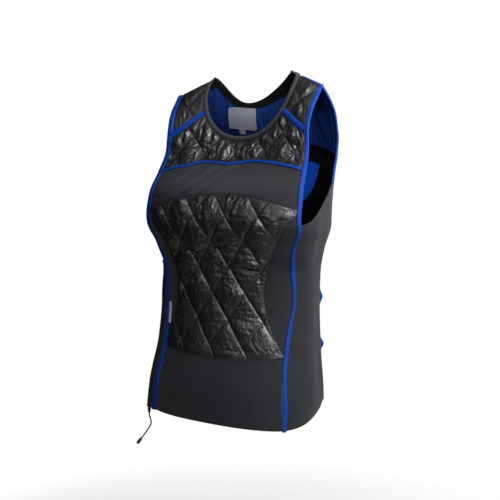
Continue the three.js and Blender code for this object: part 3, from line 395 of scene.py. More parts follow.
# Painted shade: white label cloth painted grey for the labels that lie in the neck's shade.
SHADE_PAINTED_LABEL_CLOTH = cloth_material("label_cloth", (0.38, 0.40, 0.46), 0.5, 200, thread_depth=0.3, crumple=0.1,
                             spread=0.08)
CARE_CLOTH = cloth_material("care_cloth", (0.88, 0.90, 0.94), 0.5, 200, thread_depth=0.3, crumple=0.1,
                            spread=0.08)
ZIP_TAPE = cloth_material("zip_tape", (0.008, 0.008, 0.009), 0.6, 180, thread_depth=0.4, crumple=0.1)
PULL_CORD = cloth_material("pull_cord", (0.008, 0.008, 0.009), 0.55, 140, thread_depth=0.5, crumple=0.1)
BLUE_THREAD = cloth_material("blue_thread", (0.003, 0.022, 0.16), 0.5, 300, crumple=0.1)
BLACK_THREAD = cloth_material("black_thread", (0.005, 0.005, 0.006), 0.5, 300, crumple=0.1)
SLIDER_METAL = cloth_material("slider_metal", (0.012, 0.012, 0.013), 0.35, 300, thread_depth=0.02,
                              crumple=0.05, metallic=0.7)
print("materials:", len(bpy.data.materials))

# %% [markdown]
# The pull cord hangs from the zip slider. It is the only free cord, so it comes before the cloth.
# Its route is the list of points that the CAD model has, taken from the slider's lower end. A
# Catmull-Rom curve runs through such points without overshoot, and a ring of points is carried
# along it. Two sets of strands wind round a braided cord, so the ring's radius swells where a
# strand lies on top.

# %% Pull cord
CORD_RADIUS = 1.4
CORD_GAP = 0.1
CORD_ROUTE = np.array([
    (0, 0, 0), (0, 0, -5), (1.8, 1.2, -12), (2.6, 1.8, -18), (1.4, 1.0, -24), (-1.4, -1.0, -30),
    (-4.6, -3.2, -36), (-8.2, -5.8, -42), (-12.0, -8.4, -48),
])
CORD_STEPS = 12
STRAND_PITCH = 5.0
STRAND_RISE = 0.05
STRANDS = 6
TUBE_SIDES = 16
TUBE_ASIDE = (0.3, 1.0, 0.1)

slider_low, slider_high = (np.array(corner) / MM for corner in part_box("zip_slider"))
slider_foot = (slider_low + slider_high) / 2
slider_foot[2] = slider_low[2]


def smooth_path(points, steps):
    """Catmull-Rom curve through points, with steps samples for each span."""
    padded = np.concatenate([[2 * points[0] - points[1]], points, [2 * points[-1] - points[-2]]])
    t = np.linspace(0, 1, steps, endpoint=False)[:, None]
    spans = []
    for p0, p1, p2, p3 in zip(padded, padded[1:], padded[2:], padded[3:]):
        bend = 2 * p0 - 5 * p1 + 4 * p2 - p3 + t * (3 * (p1 - p2) + p3 - p0)
        spans.append(p1 + 0.5 * t * (p2 - p0 + t * bend))
    return np.concatenate([*spans, points[-1:]])


def tube_rings(path, radius):
    """Rings round a path; radius is a function of turn and way that gives an array."""
    along = unit(np.gradient(path, axis=0))
    side = unit(np.cross(along, TUBE_ASIDE))
    other = np.cross(along, side)
    turn = np.linspace(0, 2 * np.pi, TUBE_SIDES, endpoint=False)
    way = way_along(path)
    reach = radius(turn[None, :], way[:, None])[..., None]
    spoke = side[:, None] * np.cos(turn)[None, :, None] + other[:, None] * np.sin(turn)[None, :, None]
    return path[:, None] + spoke * reach


def braid(turn, way):
    wind = 2 * np.pi * way / STRAND_PITCH
    over = np.sin(STRANDS / 2 * turn + wind) * np.sin(STRANDS / 2 * turn - wind)
    return CORD_RADIUS * (1 - STRAND_RISE + STRAND_RISE * over)


cord_path = smooth_path(slider_foot - (0, 0, CORD_GAP) + CORD_ROUTE, CORD_STEPS)
cord_length = way_along(cord_path)[-1]
pull_cord = sweep("pull_cord_braid", tube_rings(cord_path, braid), False, [PULL_CORD])
print("cord length", round(cord_length, 1), "mm")

# %% [markdown]
# The moulded end of the pull is a drop of soft plastic with grip rings. It lies on the line that
# the cord has at its end, so its rings are swept along that line with a radius profile.

# %% Pull end
PULL_LENGTH = 14.0
PULL_STEPS = 80
PULL_PROFILE_WAY = [0.0, 0.6, 3.0, 9.0, 13.0, 14.0]
PULL_PROFILE_RADIUS = [1.2, 1.8, 2.6, 3.2, 2.6, 0.2]
GRIP_DEPTH = 0.18
GRIP_PITCH = 1.8
GRIP_FROM = 3
GRIP_TO = 11.5

cord_way = unit(cord_path[-1] - cord_path[-2])
pull_path = cord_path[-1] + cord_way * (CORD_GAP + np.linspace(0, PULL_LENGTH, PULL_STEPS))[:, None]


def grip(turn, way):
    radius = np.interp(way, PULL_PROFILE_WAY, PULL_PROFILE_RADIUS)
    rings = GRIP_DEPTH * np.cos(2 * np.pi * way / GRIP_PITCH) * ((way > GRIP_FROM) & (way < GRIP_TO))
    return radius + rings + 0 * turn


def stand_for(piece, node):
    """The piece rides on the frame's only body and is seen in place of a CAD node."""
    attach(piece, "root")
    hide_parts(node)
    return piece


pull_end = sweep("pull_end_drop", tube_rings(pull_path, grip), False, [PULL_CORD])
stand_for(pull_cord, "pull_cord")
stand_for(pull_end, "pull_end")
print("pull end", PULL_LENGTH, "mm long")

# %% [markdown]
# All panels lie on one surface: the top as it is filled out by a body. The surface is a stack of
# sections, given as one short table with the same values as the CAD model. A section is a rounded
# box that is narrower at the waist, and near the shoulders it slopes and comes forward to the
# sides. Between the rows, a monotone cubic keeps every column smooth and free of overshoot.

# %% Table of sections
SECTION_COLUMNS = ("z", "slope", "sweep", "side", "mid", "front", "back", "square_front", "square_back",
                   "seam_front", "seam_back")
SECTIONS = np.array([
    (-640, 0.00, 0.00, 169, -52, -144, 58, 2.6, 2.4, 146, 156),
    (-560, 0.00, 0.00, 166, -48, -134, 60, 2.5, 2.4, 142, 153),
    (-480, 0.00, 0.00, 157, -40, -116, 60, 2.3, 2.3, 134, 145),
    (-410, 0.00, 0.00, 154, -36, -106, 58, 2.2, 2.2, 139, 142),
    (-350, 0.00, 0.00, 156, -36, -104, 58, 2.4, 2.2, 141, 144),
    (-305, 0.00, 0.00, 166, -38, -108, 62, 3.2, 2.2, 150, 154),
    (-265, 0.00, 0.00, 178, -38, -118, 68, 3.6, 2.2, 163, 165),
    (-220, 0.00, 0.00, 178, -34, -108, 72, 4.0, 2.2, 163, 165),
    (-175, 0.00, 0.04, 173, -22, -74, 80, 6.0, 2.6, 158, 161),
    (-131, 0.04, 0.13, 172, -12, -50, 79, 6.0, 3.8, 152, 157),
    (-89, 0.12, 0.21, 176, -6, -42, 70, 6.0, 5.0, 150, 159),
    (-47, 0.22, 0.26, 179, 0, -31, 55, 5.0, 5.0, 152, 162),
    (-12, 0.33, 0.27, 174, 3, -20, 39, 3.5, 4.0, 154, 161),
    (12, 0.41, 0.27, 168, 4, -10, 24, 2.5, 3.0, 155, 158),
    (22, 0.44, 0.27, 165, 4, -5, 14, 2.0, 2.2, 155, 155),
    (25, 0.44, 0.27, 165, 4, 4, 4, 2.0, 2.0, 155, 155),
])


def column_slopes(rows):
    change = np.diff(rows, axis=0)
    before, after = change[:-1], change[1:]
    slopes = np.zeros_like(rows)
    with np.errstate(divide="ignore", invalid="ignore"):
        slopes[1:-1] = np.where(before * after > 0, 2 * before * after / (before + after), 0)
    slopes[0], slopes[-1] = change[0], change[-1]
    return slopes


SLOPES = column_slopes(SECTIONS)


def section(v):
    """Every column at the height share v, from 0 at the lowest row to 1 at the shoulder line."""
    last = len(SECTIONS) - 1
    f = np.clip(np.asarray(v, float), 0, 1) * last
    i = np.minimum(f.astype(int), last - 1)
    t = (f - i)[..., None]
    rest = 1 - t
    values = (rest**2 * ((1 + 2 * t) * SECTIONS[i] + t * SLOPES[i])
              + t**2 * ((1 + 2 * rest) * SECTIONS[i + 1] - rest * SLOPES[i + 1]))
    return dict(zip(SECTION_COLUMNS, np.moveaxis(values, -1, 0)))


print("sections:", len(SECTIONS), "from z", SECTIONS[0, 0], "to", SECTIONS[-1, 0], "mm")

# %% [markdown]
# A point of the surface is given by an angle round the body and a height share. The section at that
# height gives a rounded box, which is then sloped down and swept forward to the sides. At the back
# the collar leans forward to the neck, so the back loses some of its depth there.

# %% The body's surface
CENTRE_ROUND = 40
SWEEP_START = 68
NECK_LEAN = 0.87
NECK_LEAN_HALF = 118
NECK_LEAN_FROM_Z = -190
NECK_LEAN_FULL_Z = -50
STEP = 1e-3
BUST_V = 0.43


def sideways(x):
    return np.hypot(x, CENTRE_ROUND) - CENTRE_ROUND


def neck_lean(x, z):
    """Share of its depth that the back loses where it leans forward to the neck."""
    near_centre = NECK_LEAN * np.exp(-((x / NECK_LEAN_HALF) ** 2))
    return near_centre * smoothstep(z, NECK_LEAN_FROM_Z, NECK_LEAN_FULL_Z)


def surface(phi, v):
    """Points at phi round the body, 0 at the centre front and a quarter turn at the wearer's left."""
    phi, v = np.broadcast_arrays(np.asarray(phi, float), np.asarray(v, float))
    at = section(v)
    s, c = np.sin(phi), np.cos(phi)
    square = np.where(c >= 0, at["square_front"], at["square_back"])
    rho = (np.abs(s) ** square + np.abs(c) ** square) ** (1 / square)
    x = at["side"] * s / rho
    behind = (at["back"] - at["mid"]) * (1 - neck_lean(x, at["z"]))
    reach = np.where(c >= 0, at["mid"] - at["front"], behind)
    away = sideways(x)
    y = at["mid"] - reach * c / rho - at["sweep"] * (away - SWEEP_START)
    return np.stack([x, y, at["z"] - at["slope"] * away], -1)


def tangents(phi, v):
    """Directions round the body, up it and out of it."""
    inside = np.clip(v, STEP, 1 - STEP)
    along_phi = (surface(phi + STEP, inside) - surface(phi - STEP, inside)) / (2 * STEP)
    along_v = (surface(phi, inside + STEP) - surface(phi, inside - STEP)) / (2 * STEP)
    return along_phi, along_v, unit(np.cross(along_phi, along_v))


bust = way_along(surface(np.linspace(0, 2 * np.pi, 200), BUST_V))[-1]
print("girth at the bust", round(bust), "mm")

# %% [markdown]
# A panel is cut by its seams, and a seam is a line on the surface. Seams that run round the body
# give a height share for an angle, and seams that run up it give an angle for a height share. Both
# are found by halving an interval until the line's own condition holds, for all points at once.

# %% Seams as lines on the surface
HALVINGS = 28
WIDEST_TURN = math.radians(89)
WAIST_Z = -388


def solve(low, high, f):
    """Roots of a rising function, for arrays of bounds."""
    low, high = np.array(low, float), np.array(high, float)
    for _ in range(HALVINGS):
        middle = (low + high) / 2
        under = f(middle) < 0
        low, high = np.where(under, middle, low), np.where(under, high, middle)
    return (low + high) / 2


def level_edge(height):
    """A seam round the body, whose height is a function of x and y."""
    def edge(phi):
        phi = np.asarray(phi, float)

        def over(v):
            p = surface(phi, v)
            return p[..., 2] - height(p[..., 0], p[..., 1])
        return solve(np.zeros_like(phi), np.ones_like(phi), over)
    return edge


def level_at(z):
    return level_edge(lambda x, y: z)


def side_edge(half):
    """A seam up the front, whose distance from the centre line is a function of z."""
    def edge(v):
        v = np.asarray(v, float)

        def over(phi):
            p = surface(phi, v)
            return p[..., 0] - half(p[..., 2])
        return solve(np.zeros_like(v), np.full_like(v, WIDEST_TURN), over)
    return edge


waist_v = float(level_at(WAIST_Z)(0.0))
print("the waist is at the height share", round(waist_v, 3))

# %% [markdown]
# A cloth ends beside its seam, with room for the binding between. So a seam can be moved by a
# distance in millimetres: raised if it runs round the body, widened if it runs up it. The step is
# taken along the surface and made longer where the seam slants, so the gap stays even.

# %% Moved seams
STEEPEST = 0.25


def raise_edge(edge, distance):
    def moved(phi):
        near = np.stack([phi - STEP, phi, phi + STEP])
        heights = edge(near)
        v = heights[1]
        run = unit(surface(near[2], heights[2]) - surface(near[0], heights[0]))
        up = tangents(phi, v)[1]
        speed = np.linalg.norm(up, axis=-1)
        across = np.sqrt(1 - ((up * run).sum(-1) / speed) ** 2)
        return v + distance / (speed * np.maximum(across, STEEPEST))
    return moved


def widen(edge, distance):
    """Move an upright seam outwards by a distance, which may be a function of the height share."""
    def moved(v):
        v = np.asarray(v, float)
        inside = np.clip(v, STEP, 1 - STEP)
        near = np.stack([inside - STEP, v, inside + STEP])
        angles = edge(near)
        phi = angles[1]
        run = unit(surface(angles[2], near[2]) - surface(angles[0], near[0]))
        turn = tangents(phi, v)[0]
        speed = np.linalg.norm(turn, axis=-1)
        across = np.sqrt(1 - ((turn * run).sum(-1) / speed) ** 2)
        return phi + (distance(v) if callable(distance) else distance) / (speed * across)
    return moved


def lower(first, second):
    return lambda t: np.minimum(first(t), second(t))


def mirrored(edge):
    return lambda t: -edge(t)


def round_the_back(edge):
    return lambda v: 2 * np.pi - edge(v)


above_waist = raise_edge(level_at(WAIST_Z), 10)(np.zeros(1))[0]
print("10 mm above the waist:", round(above_waist, 3))

# %% [markdown]
# Two seams run up each side, one in front and one at the back, and the table of sections holds their
# distance from the centre line. The left front seam wanders a little and its binding changes in
# width, as a sewn seam does. The right front seam is drawn forward below the bust, where the zip
# pulls on it.

# %% Upright seams
BINDING_WIDTH = 8.5
SEAM_GAP = 0.1
BINDING_CLEAR = BINDING_WIDTH / 2 + SEAM_GAP
COARSE_CLEAR = 0.05
ZIP_PULL = 9
ZIP_PULL_FROM_Z = -290
ZIP_PULL_FULL_Z = -350
LEFT_SEAM_TABLE = np.array([
    (-640, 7.0, 0.0), (-612, 7.0, 0.0), (-582, 9.8, 0.7), (-557, 9.0, 0.0), (-532, 8.0, -0.7),
    (-507, 7.8, -0.7), (-482, 7.6, 0.4), (-457, 7.6, -0.4), (-432, 6.6, -1.6), (-407, 5.6, -0.4),
    (-382, 5.6, 0.4), (-357, 7.6, -1.4), (-332, 7.6, -2.2), (-307, 5.6, -1.4), (-282, 5.6, 1.2),
    (-257, 8.0, 0.0), (-207, 8.2, 0.0), (-132, 7.8, 0.0), (-82, 8.2, 0.0), (25, 7.8, 0.0),
]).T
SEAM_BLUR = (-9, -3, 3, 9)


def angle_at(x, v, square):
    at = section(v)
    share = x / at["side"]
    return np.arctan2(share, (1 - np.abs(share) ** at[square]) ** (1 / at[square]))


def drawn(v):
    """Share of the zip's pull at a height."""
    return smoothstep(-section(v)["z"], -ZIP_PULL_FROM_Z, -ZIP_PULL_FULL_Z)


def left_seam_row(z, row):
    """Width (row 1) or sideways wander (row 2) of the left front binding in millimetres."""
    return np.mean([np.interp(z + d, LEFT_SEAM_TABLE[0], LEFT_SEAM_TABLE[row]) for d in SEAM_BLUR], axis=0)


def left_seam(v):
    at = section(v)
    return angle_at(at["seam_front"] + left_seam_row(at["z"], 2), v, "square_front")


def left_clear(v):
    return left_seam_row(section(v)["z"], 1) / 2 + SEAM_GAP


def zip_seam(v):
    return angle_at(section(v)["seam_front"] - ZIP_PULL * drawn(v), v, "square_front")


def back_seam(v):
    return np.pi - angle_at(section(v)["seam_back"], v, "square_back")


left_seam_inner = widen(left_seam, lambda v: -left_clear(v))
left_seam_outer = widen(left_seam, left_clear)
zip_seam_inner = widen(zip_seam, -BINDING_CLEAR)
zip_seam_outer = widen(zip_seam, BINDING_CLEAR)
back_seam_inner = widen(back_seam, BINDING_CLEAR + COARSE_CLEAR)
seam_angles = [seam(waist_v) for seam in (left_seam, zip_seam, back_seam)]
print("seams at the waist:", np.degrees(seam_angles).round(1), "degrees")

# %% [markdown]
# The seams that run round the body are short formulas of the distance from the centre line, or of
# the depth for the hem and the underarm. The sizes repeat those of the CAD model, so that each
# cloth ends where its solid ends.

# %% Heights of the level seams
SEAM_SIDE = 150
CHEST_BAND = {"z": -161, "rise": 4, "half": 110, "drop": 11}
CHEST_WANDER = {"short": 6.7, "sway": 19, "short_rise": 0.5, "long": 12.3, "long_rise": 0.4}
BELLY_TOP = {"z": -214, "drop": 24}
BELLY_LOW = {"z": -497, "rise": 8, "half": 130}
BACK_YOKE = {"z": -108, "drop": 34}
HEM = {"z": -610, "rise": 36, "from_y": -118, "span": 110, "power": 1.6}
UNDERARM = {"z": -266, "rise": 70, "from_y": -94, "to_y": 14}
STRIP = {"z": -70, "slope": 0.68, "from_x": 92}


def chest_band_z(x, y):
    bump = np.sin(np.pi * np.minimum(np.abs(x), CHEST_BAND["half"]) / CHEST_BAND["half"]) ** 2
    short = CHEST_WANDER["short_rise"] * np.sin(x / CHEST_WANDER["short"] + np.sin(x / CHEST_WANDER["sway"]))
    wander = short + CHEST_WANDER["long_rise"] * np.sin(x / CHEST_WANDER["long"])
    return CHEST_BAND["z"] + CHEST_BAND["rise"] * bump - CHEST_BAND["drop"] * (x / SEAM_SIDE) ** 4 + wander


def belly_top_z(x, y):
    return BELLY_TOP["z"] - BELLY_TOP["drop"] * (x / SEAM_SIDE) ** 2


def belly_low_z(x, y):
    return BELLY_LOW["z"] + BELLY_LOW["rise"] * (np.abs(x) / BELLY_LOW["half"]) ** 3


def back_yoke_z(x, y):
    return BACK_YOKE["z"] - BACK_YOKE["drop"] * (x / SEAM_SIDE) ** 2


def hem_z(x, y):
    return HEM["z"] + HEM["rise"] * np.clip((y - HEM["from_y"]) / HEM["span"], 0, 1) ** HEM["power"]


def underarm_z(x, y):
    return UNDERARM["z"] + UNDERARM["rise"] * smoothstep(y, UNDERARM["from_y"], UNDERARM["to_y"])


def shoulder_strip_z(x, y):
    return STRIP["z"] - STRIP["slope"] * (np.abs(x) - STRIP["from_x"])


def shoulder_line(phi):
    return np.ones_like(np.asarray(phi, float))


chest_band = level_edge(chest_band_z)
belly_top = level_edge(belly_top_z)
belly_low = level_edge(belly_low_z)
back_yoke_low = level_edge(back_yoke_z)
hem = level_edge(hem_z)
underarm = level_edge(underarm_z)
shoulder_strip = level_edge(shoulder_strip_z)
print("hem at the centre front:", surface(0.0, hem(0.0)).round(1))

# %% [markdown]
# The neck line is a rounded curve, a little to one side of the centre. It is used in two ways: as
# the floor of the neck, a height for each distance from the centre line, and as two sides, a
# distance for each height. The belly panel is an hourglass, so its half width grows away from the
# waist in both directions.

# %% Neck line and belly curve
NECK_SHIFT = 6
NECK_HALF = 97
NECK_ROUND = 2.15
NECK_WIDEST_Z = -6
NECK_FLOOR_Z = -116
NECK_DROP = NECK_WIDEST_Z - NECK_FLOOR_Z
BELLY_HALF = 94
BELLY_ABOVE = {"span": 150, "wider": 75, "power": 1.9}
BELLY_BELOW = {"span": 104, "wider": 41, "power": 1.8}
BELLY_PAST = 1.2


def rounded_share(share):
    return (1 - np.clip(share, 0, 1) ** NECK_ROUND) ** (1 / NECK_ROUND)


def neck_floor_z(x, y):
    share = np.abs(x - NECK_SHIFT) / NECK_HALF
    curve = NECK_WIDEST_Z - NECK_DROP * rounded_share(share)
    return np.where(share < 1, curve, SECTIONS[-1, 0])


def neck_half(shift):
    return lambda z: shift + NECK_HALF * rounded_share((NECK_WIDEST_Z - z) / NECK_DROP)


def belly_half(z):
    up = np.clip((z - WAIST_Z) / BELLY_ABOVE["span"], 0, BELLY_PAST)
    down = np.clip((WAIST_Z - z) / BELLY_BELOW["span"], 0, BELLY_PAST)
    wider = BELLY_HALF + BELLY_ABOVE["wider"] * up ** BELLY_ABOVE["power"]
    return wider + BELLY_BELOW["wider"] * down ** BELLY_BELOW["power"]


neck_floor = level_edge(neck_floor_z)
left_neck = side_edge(neck_half(NECK_SHIFT))
right_neck = side_edge(neck_half(-NECK_SHIFT))
belly_curve = side_edge(belly_half)
print("neck", 2 * NECK_HALF, "mm wide, belly panel", 2 * BELLY_HALF, "mm at the waist")

# %% [markdown]
# A panel fills four seams. Its corners are where two seams cross, found by steps that go most of
# the way each time. A Coons patch then blends the four borders into a grid of angles and height
# shares, with the corners counted once.

# %% Panels between seams
CLOSE_ENOUGH = 1e-6
STEP_SHARE = 0.6
LOW_START = 0.2
HIGH_START = 0.8
HEM_START = 0.05
SHOULDER_START = 0.95


def crossing(side, level, v):
    """Where an upright seam meets a level one, by steps from the height share v."""
    v = np.array([v], float)
    step = 1.0
    while abs(step) > CLOSE_ENOUGH:
        step = STEP_SHARE * (level(side(v)) - v)[0]
        v = v + step
    return side(v)[0], v[0]


def borders(left, right, bottom, top, low=LOW_START, high=HIGH_START):
    """Four runs from 0 to 1 that give (phi, v); low and high are where the corner search starts."""
    a, b = crossing(left, bottom, low), crossing(right, bottom, low)
    c, d = crossing(left, top, high), crossing(right, top, high)

    def level(edge, start, end):
        def run(s):
            phi = start[0] + (end[0] - start[0]) * s
            return np.stack([phi, edge(phi)], -1)
        return run

    def upright(edge, start, end):
        def run(t):
            v = start[1] + (end[1] - start[1]) * t
            return np.stack([edge(v), v], -1)
        return run
    return {"bottom": level(bottom, a, b), "top": level(top, c, d),
            "left": upright(left, a, c), "right": upright(right, b, d)}


def coons(edges, cols, rows):
    """Grid of (phi, v), rows + 1 by cols + 1, from below and from the left border."""
    s = np.linspace(0, 1, cols + 1)
    t = np.linspace(0, 1, rows + 1)
    bottom, top = edges["bottom"](s)[None], edges["top"](s)[None]
    left, right = edges["left"](t)[:, None], edges["right"](t)[:, None]
    s, t = s[None, :, None], t[:, None, None]
    corners = ((1 - t) * ((1 - s) * bottom[:, :1] + s * bottom[:, -1:])
               + t * ((1 - s) * top[:, :1] + s * top[:, -1:]))
    return (1 - t) * bottom + t * top + (1 - s) * left + s * right - corners


hem_corner = crossing(left_seam, hem, HEM_START)
print("the left seam meets the hem at", surface(*hem_corner).round(1))

# %% [markdown]
# A grid also carries two lengths in millimetres: the way round the body from a start angle, and the
# way up the centre front. Quilting, folds and weave all use these lengths, so a pattern keeps its
# size wherever the body is narrow or wide.

# %% Grids with lengths
CLIMB_V = np.linspace(0, 1, 401)
CLIMB = way_along(surface(0.0, CLIMB_V))
GIRTH_STEPS = 16
ROUGH_STEPS = 12


def girth(phi, v, start):
    """Signed length round the section from the angle start."""
    length = np.zeros(np.shape(phi))
    last = surface(start + 0 * phi, v)
    for i in range(1, GIRTH_STEPS + 1):
        here = surface(start + (phi - start) * i / GIRTH_STEPS, v)
        length += np.linalg.norm(here - last, axis=-1)
        last = here
    return np.where(phi < start, -length, length)


class Grid:
    """A panel's grid with its points, normals and lengths in millimetres."""

    def __init__(self, edges, spacing, start=0.0):
        rough = surface(*np.moveaxis(coons(edges, ROUGH_STEPS, ROUGH_STEPS), -1, 0))
        width = np.linalg.norm(np.diff(rough, axis=1), axis=-1).sum(1).max()
        height = np.linalg.norm(np.diff(rough, axis=0), axis=-1).sum(0).max()
        cols = max(2, int(round(width / spacing)))
        rows = max(2, int(round(height / spacing)))
        self.set_places(coons(edges, cols, rows), start)

    @classmethod
    def from_places(cls, places, start=0.0):
        grid = cls.__new__(cls)
        grid.set_places(places, start)
        return grid

    def set_places(self, places, start):
        self.phi, self.v = places[..., 0], places[..., 1]
        self.points = surface(self.phi, self.v)
        self.normals = tangents(self.phi, self.v)[2]
        self.side = girth(self.phi, self.v, start)
        self.up = np.interp(self.v, CLIMB_V, CLIMB)
        self.uv = np.stack([self.side, self.up], -1)

    def lifted(self, lift):
        """Steps out of the cloth, for one height or a height for each point."""
        return self.normals * np.broadcast_to(lift, self.phi.shape)[..., None]

    def border_distance(self):
        """Distance of each point from the panel's nearest border."""
        p = self.points
        ring = np.concatenate([p[0], p[-1], p[1:-1, 0], p[1:-1, -1]])[::2]
        return np.sqrt(((p[:, :, None] - ring) ** 2).sum(-1).min(-1))

    def area(self):
        p = self.points
        half = np.cross(p[1:, 1:] - p[:-1, :-1], p[1:, :-1] - p[:-1, 1:])
        return np.linalg.norm(half, axis=-1).sum() / 2 * MM * MM


print("way up the centre front:", round(CLIMB[-1]), "mm")

# %% [markdown]
# The matte panels are a stretch knit. It is smooth where the body fills it, with soft folds where
# it is drawn between seams. Each fold is one row of a table: a place, a length, a width, a lean
# and a rise. A bell curve across the fold and another along it give a rounded ridge.

# %% Folds of the stretch cloth
FOLD_COLUMNS = ("angle", "z", "length", "width", "lean", "rise")
FOLDS = [
    (78, -330, 120, 16, 0.10, 3.0), (96, -380, 150, 18, -0.08, 2.6), (84, -520, 110, 20, 0.12, 2.4),
    (-78, -330, 120, 16, -0.10, 3.0), (-96, -380, 150, 18, 0.08, 2.6), (-84, -520, 110, 20, -0.12, 2.4),
    (-3, -186, 30, 10, -0.95, 4.0), (-15, -190, 32, 11, -0.95, 4.6), (-28, -194, 30, 10, -0.95, 4.0),
    (150, -420, 140, 22, 0.15, 2.4), (180, -480, 120, 26, 0.00, 2.0), (-150, -420, 140, 22, -0.15, 2.4),
    (108, -470, 170, 12, 0.02, 4.0),
]


def fold_relief(grid):
    relief = np.zeros(grid.phi.shape)
    for row in FOLDS:
        fold = dict(zip(FOLD_COLUMNS, row))
        place = math.radians(fold["angle"])
        turn = np.arctan2(np.sin(grid.phi - place), np.cos(grid.phi - place))
        way = girth(place + turn, grid.v, place)
        down = fold["z"] - grid.points[..., 2]
        off = (way - fold["lean"] * down) / fold["width"]
        ridge = fold["rise"] * np.exp(-off**2 - (down / fold["length"]) ** 2)
        relief += np.where(np.abs(turn) < 1, ridge, 0)
    return relief


print("folds:", len(FOLDS))

# %% [markdown]
# Each panel is a closed sheet over its grid, with the folds faded out towards the seams that hold
# them. The size of the rectangle that the cloth is cut from and its area are printed. The back
# panel's inside is the near-black knit, which is painted shade, because it is seen deep in the neck.

# %% Stretch panels
JERSEY_WALL = 1.6
JERSEY_SPACING = 4.0
BACK_SPACING = 5.0
FADE = 14
LEAST_FILL = 0.3
NARROW_WIDTH = 6.6
NARROW_CLEAR = NARROW_WIDTH / 2 + SEAM_GAP


def lay(name, grid, outer, inner, materials, node):
    """A closed sheet over a grid, which rides on the frame and stands for its CAD node."""
    piece = closed_sheet(name, grid.points + grid.lifted(outer), grid.points + grid.lifted(inner), grid.uv,
                         materials)
    return stand_for(piece, node)


def declare_sheet(piece, grid):
    """Print a cloth's flat size and area; the area fills a fair share of the rectangle."""
    width = float(np.ptp(grid.side)) * MM
    length = float(np.ptp(grid.up)) * MM
    area = min(max(grid.area(), LEAST_FILL * width * length), width * length)
    print(piece.name, round(width / MM), "x", round(length / MM), "mm,", round(area * 1e4), "cm2")


def jersey_panel(name, node, edges, start=0.0, spacing=JERSEY_SPACING, materials=(STRETCH_JERSEY,)):
    grid = Grid(edges, spacing, start)
    relief = fold_relief(grid) * smoothstep(grid.border_distance(), 0, FADE)
    piece = lay(name, grid, relief, relief - JERSEY_WALL, materials, node)
    declare_sheet(piece, grid)


jersey_panel("chest_jersey", "chest_panel", borders(
    mirrored(zip_seam_inner), left_seam_inner, raise_edge(belly_top, SEAM_GAP / 2),
    raise_edge(chest_band, -NARROW_CLEAR)))
jersey_panel("hem_jersey", "hem_panel", borders(
    mirrored(zip_seam_inner), left_seam_inner, hem, raise_edge(belly_low, -SEAM_GAP / 2),
    low=HEM_START, high=LOW_START))
# Painted shade: the back panel's inner skin has the near-black knit.
jersey_panel("back_jersey", "back_panel", borders(
    back_seam_inner, round_the_back(back_seam_inner), hem, raise_edge(back_yoke_low, -SEAM_GAP / 2),
    low=HEM_START), start=np.pi, spacing=BACK_SPACING, materials=(STRETCH_JERSEY, SHADE_PAINTED_KNIT))

# %% [markdown]
# The side panels and the crescents at the waist exist twice, once for each side of the body. The
# seam on the zip's side is drawn forward, so the two are not mirror images: each is cut by its own
# seam, and the right one is turned over to the other side by a change of sign. A crescent ends
# where it gets too narrow to sew.

# %% Side panels and waist insets
INSET_TIP = 1.5
INSET_HIGHEST = 0.6
UNDERARM_START = 0.45
inset_inner = widen(belly_curve, SEAM_GAP)


def inset_ends(seam_inner):
    """Height shares of a crescent's two tips."""
    def over_tip(v):
        return surface(seam_inner(v), v)[..., 0] - surface(inset_inner(v), v)[..., 0] - INSET_TIP
    low = solve([0.0], [waist_v], over_tip)[0]
    high = solve([waist_v], [INSET_HIGHEST], lambda v: -over_tip(v))[0]
    return float(low), float(high)


def inset_borders(seam_inner):
    low, high = inset_ends(seam_inner)
    return borders(inset_inner, seam_inner, lambda phi: low + 0 * phi, lambda phi: high + 0 * phi)


def flipped(edges):
    """The same panel on the wearer's right: angles change sign, and left and right change places."""
    sign = np.array([-1, 1])
    return {"bottom": lambda s: edges["bottom"](1 - s) * sign, "top": lambda s: edges["top"](1 - s) * sign,
            "left": lambda t: edges["right"](t) * sign, "right": lambda t: edges["left"](t) * sign}


def side_borders(front):
    back_edge = widen(back_seam, -BINDING_CLEAR)
    return borders(front, back_edge, hem, underarm, low=HEM_START, high=UNDERARM_START)


jersey_panel("side_jersey_left", "side_panel_left", side_borders(left_seam_outer))
jersey_panel("side_jersey_right", "side_panel_right", flipped(side_borders(zip_seam_outer)))
jersey_panel("waist_jersey_left", "waist_inset_left", inset_borders(left_seam_inner))
jersey_panel("waist_jersey_right", "waist_inset_right", flipped(inset_borders(zip_seam_inner)))

# %% [markdown]
# The cooling panels are quilted: nylon over wadding over a blue backing, stitched through in
# diamonds. Two families of lines cross, and each is a phase that counts lines along the panel. A
# stitch line is where a phase is a whole number. The grid's points are moved along their rows onto
# the lines, so that the valleys are sharp and don't run in steps.

# %% Quilting lines
DIAMOND_WIDTH = 68
DIAMOND_HEIGHT = 92
LATTICE_LEAN = DIAMOND_WIDTH / DIAMOND_HEIGHT
BELLY_LATTICE = (68, 182, -198)
YOKE_LATTICE = (66, 322, -322)
SHOULDER_LATTICES = {"left": (66, 608, -347), "right": (66, 347, -608)}
BACK_LATTICE = (68, 0, 0)


def stitch_phases(grid, lattice):
    """Counts of the falling and the rising lines; a lattice is their pitch and one line of each."""
    pitch, falling, rising = lattice
    lean = grid.up * LATTICE_LEAN
    return (grid.side + lean - falling) / pitch, (grid.side - lean - rising) / pitch


def stitch_distances(grid, lattice):
    """Distances of each point from the nearest falling and the nearest rising line."""
    apart = lattice[0] / math.hypot(1, LATTICE_LEAN)
    return [np.abs(phase - np.round(phase)) * apart for phase in stitch_phases(grid, lattice)]


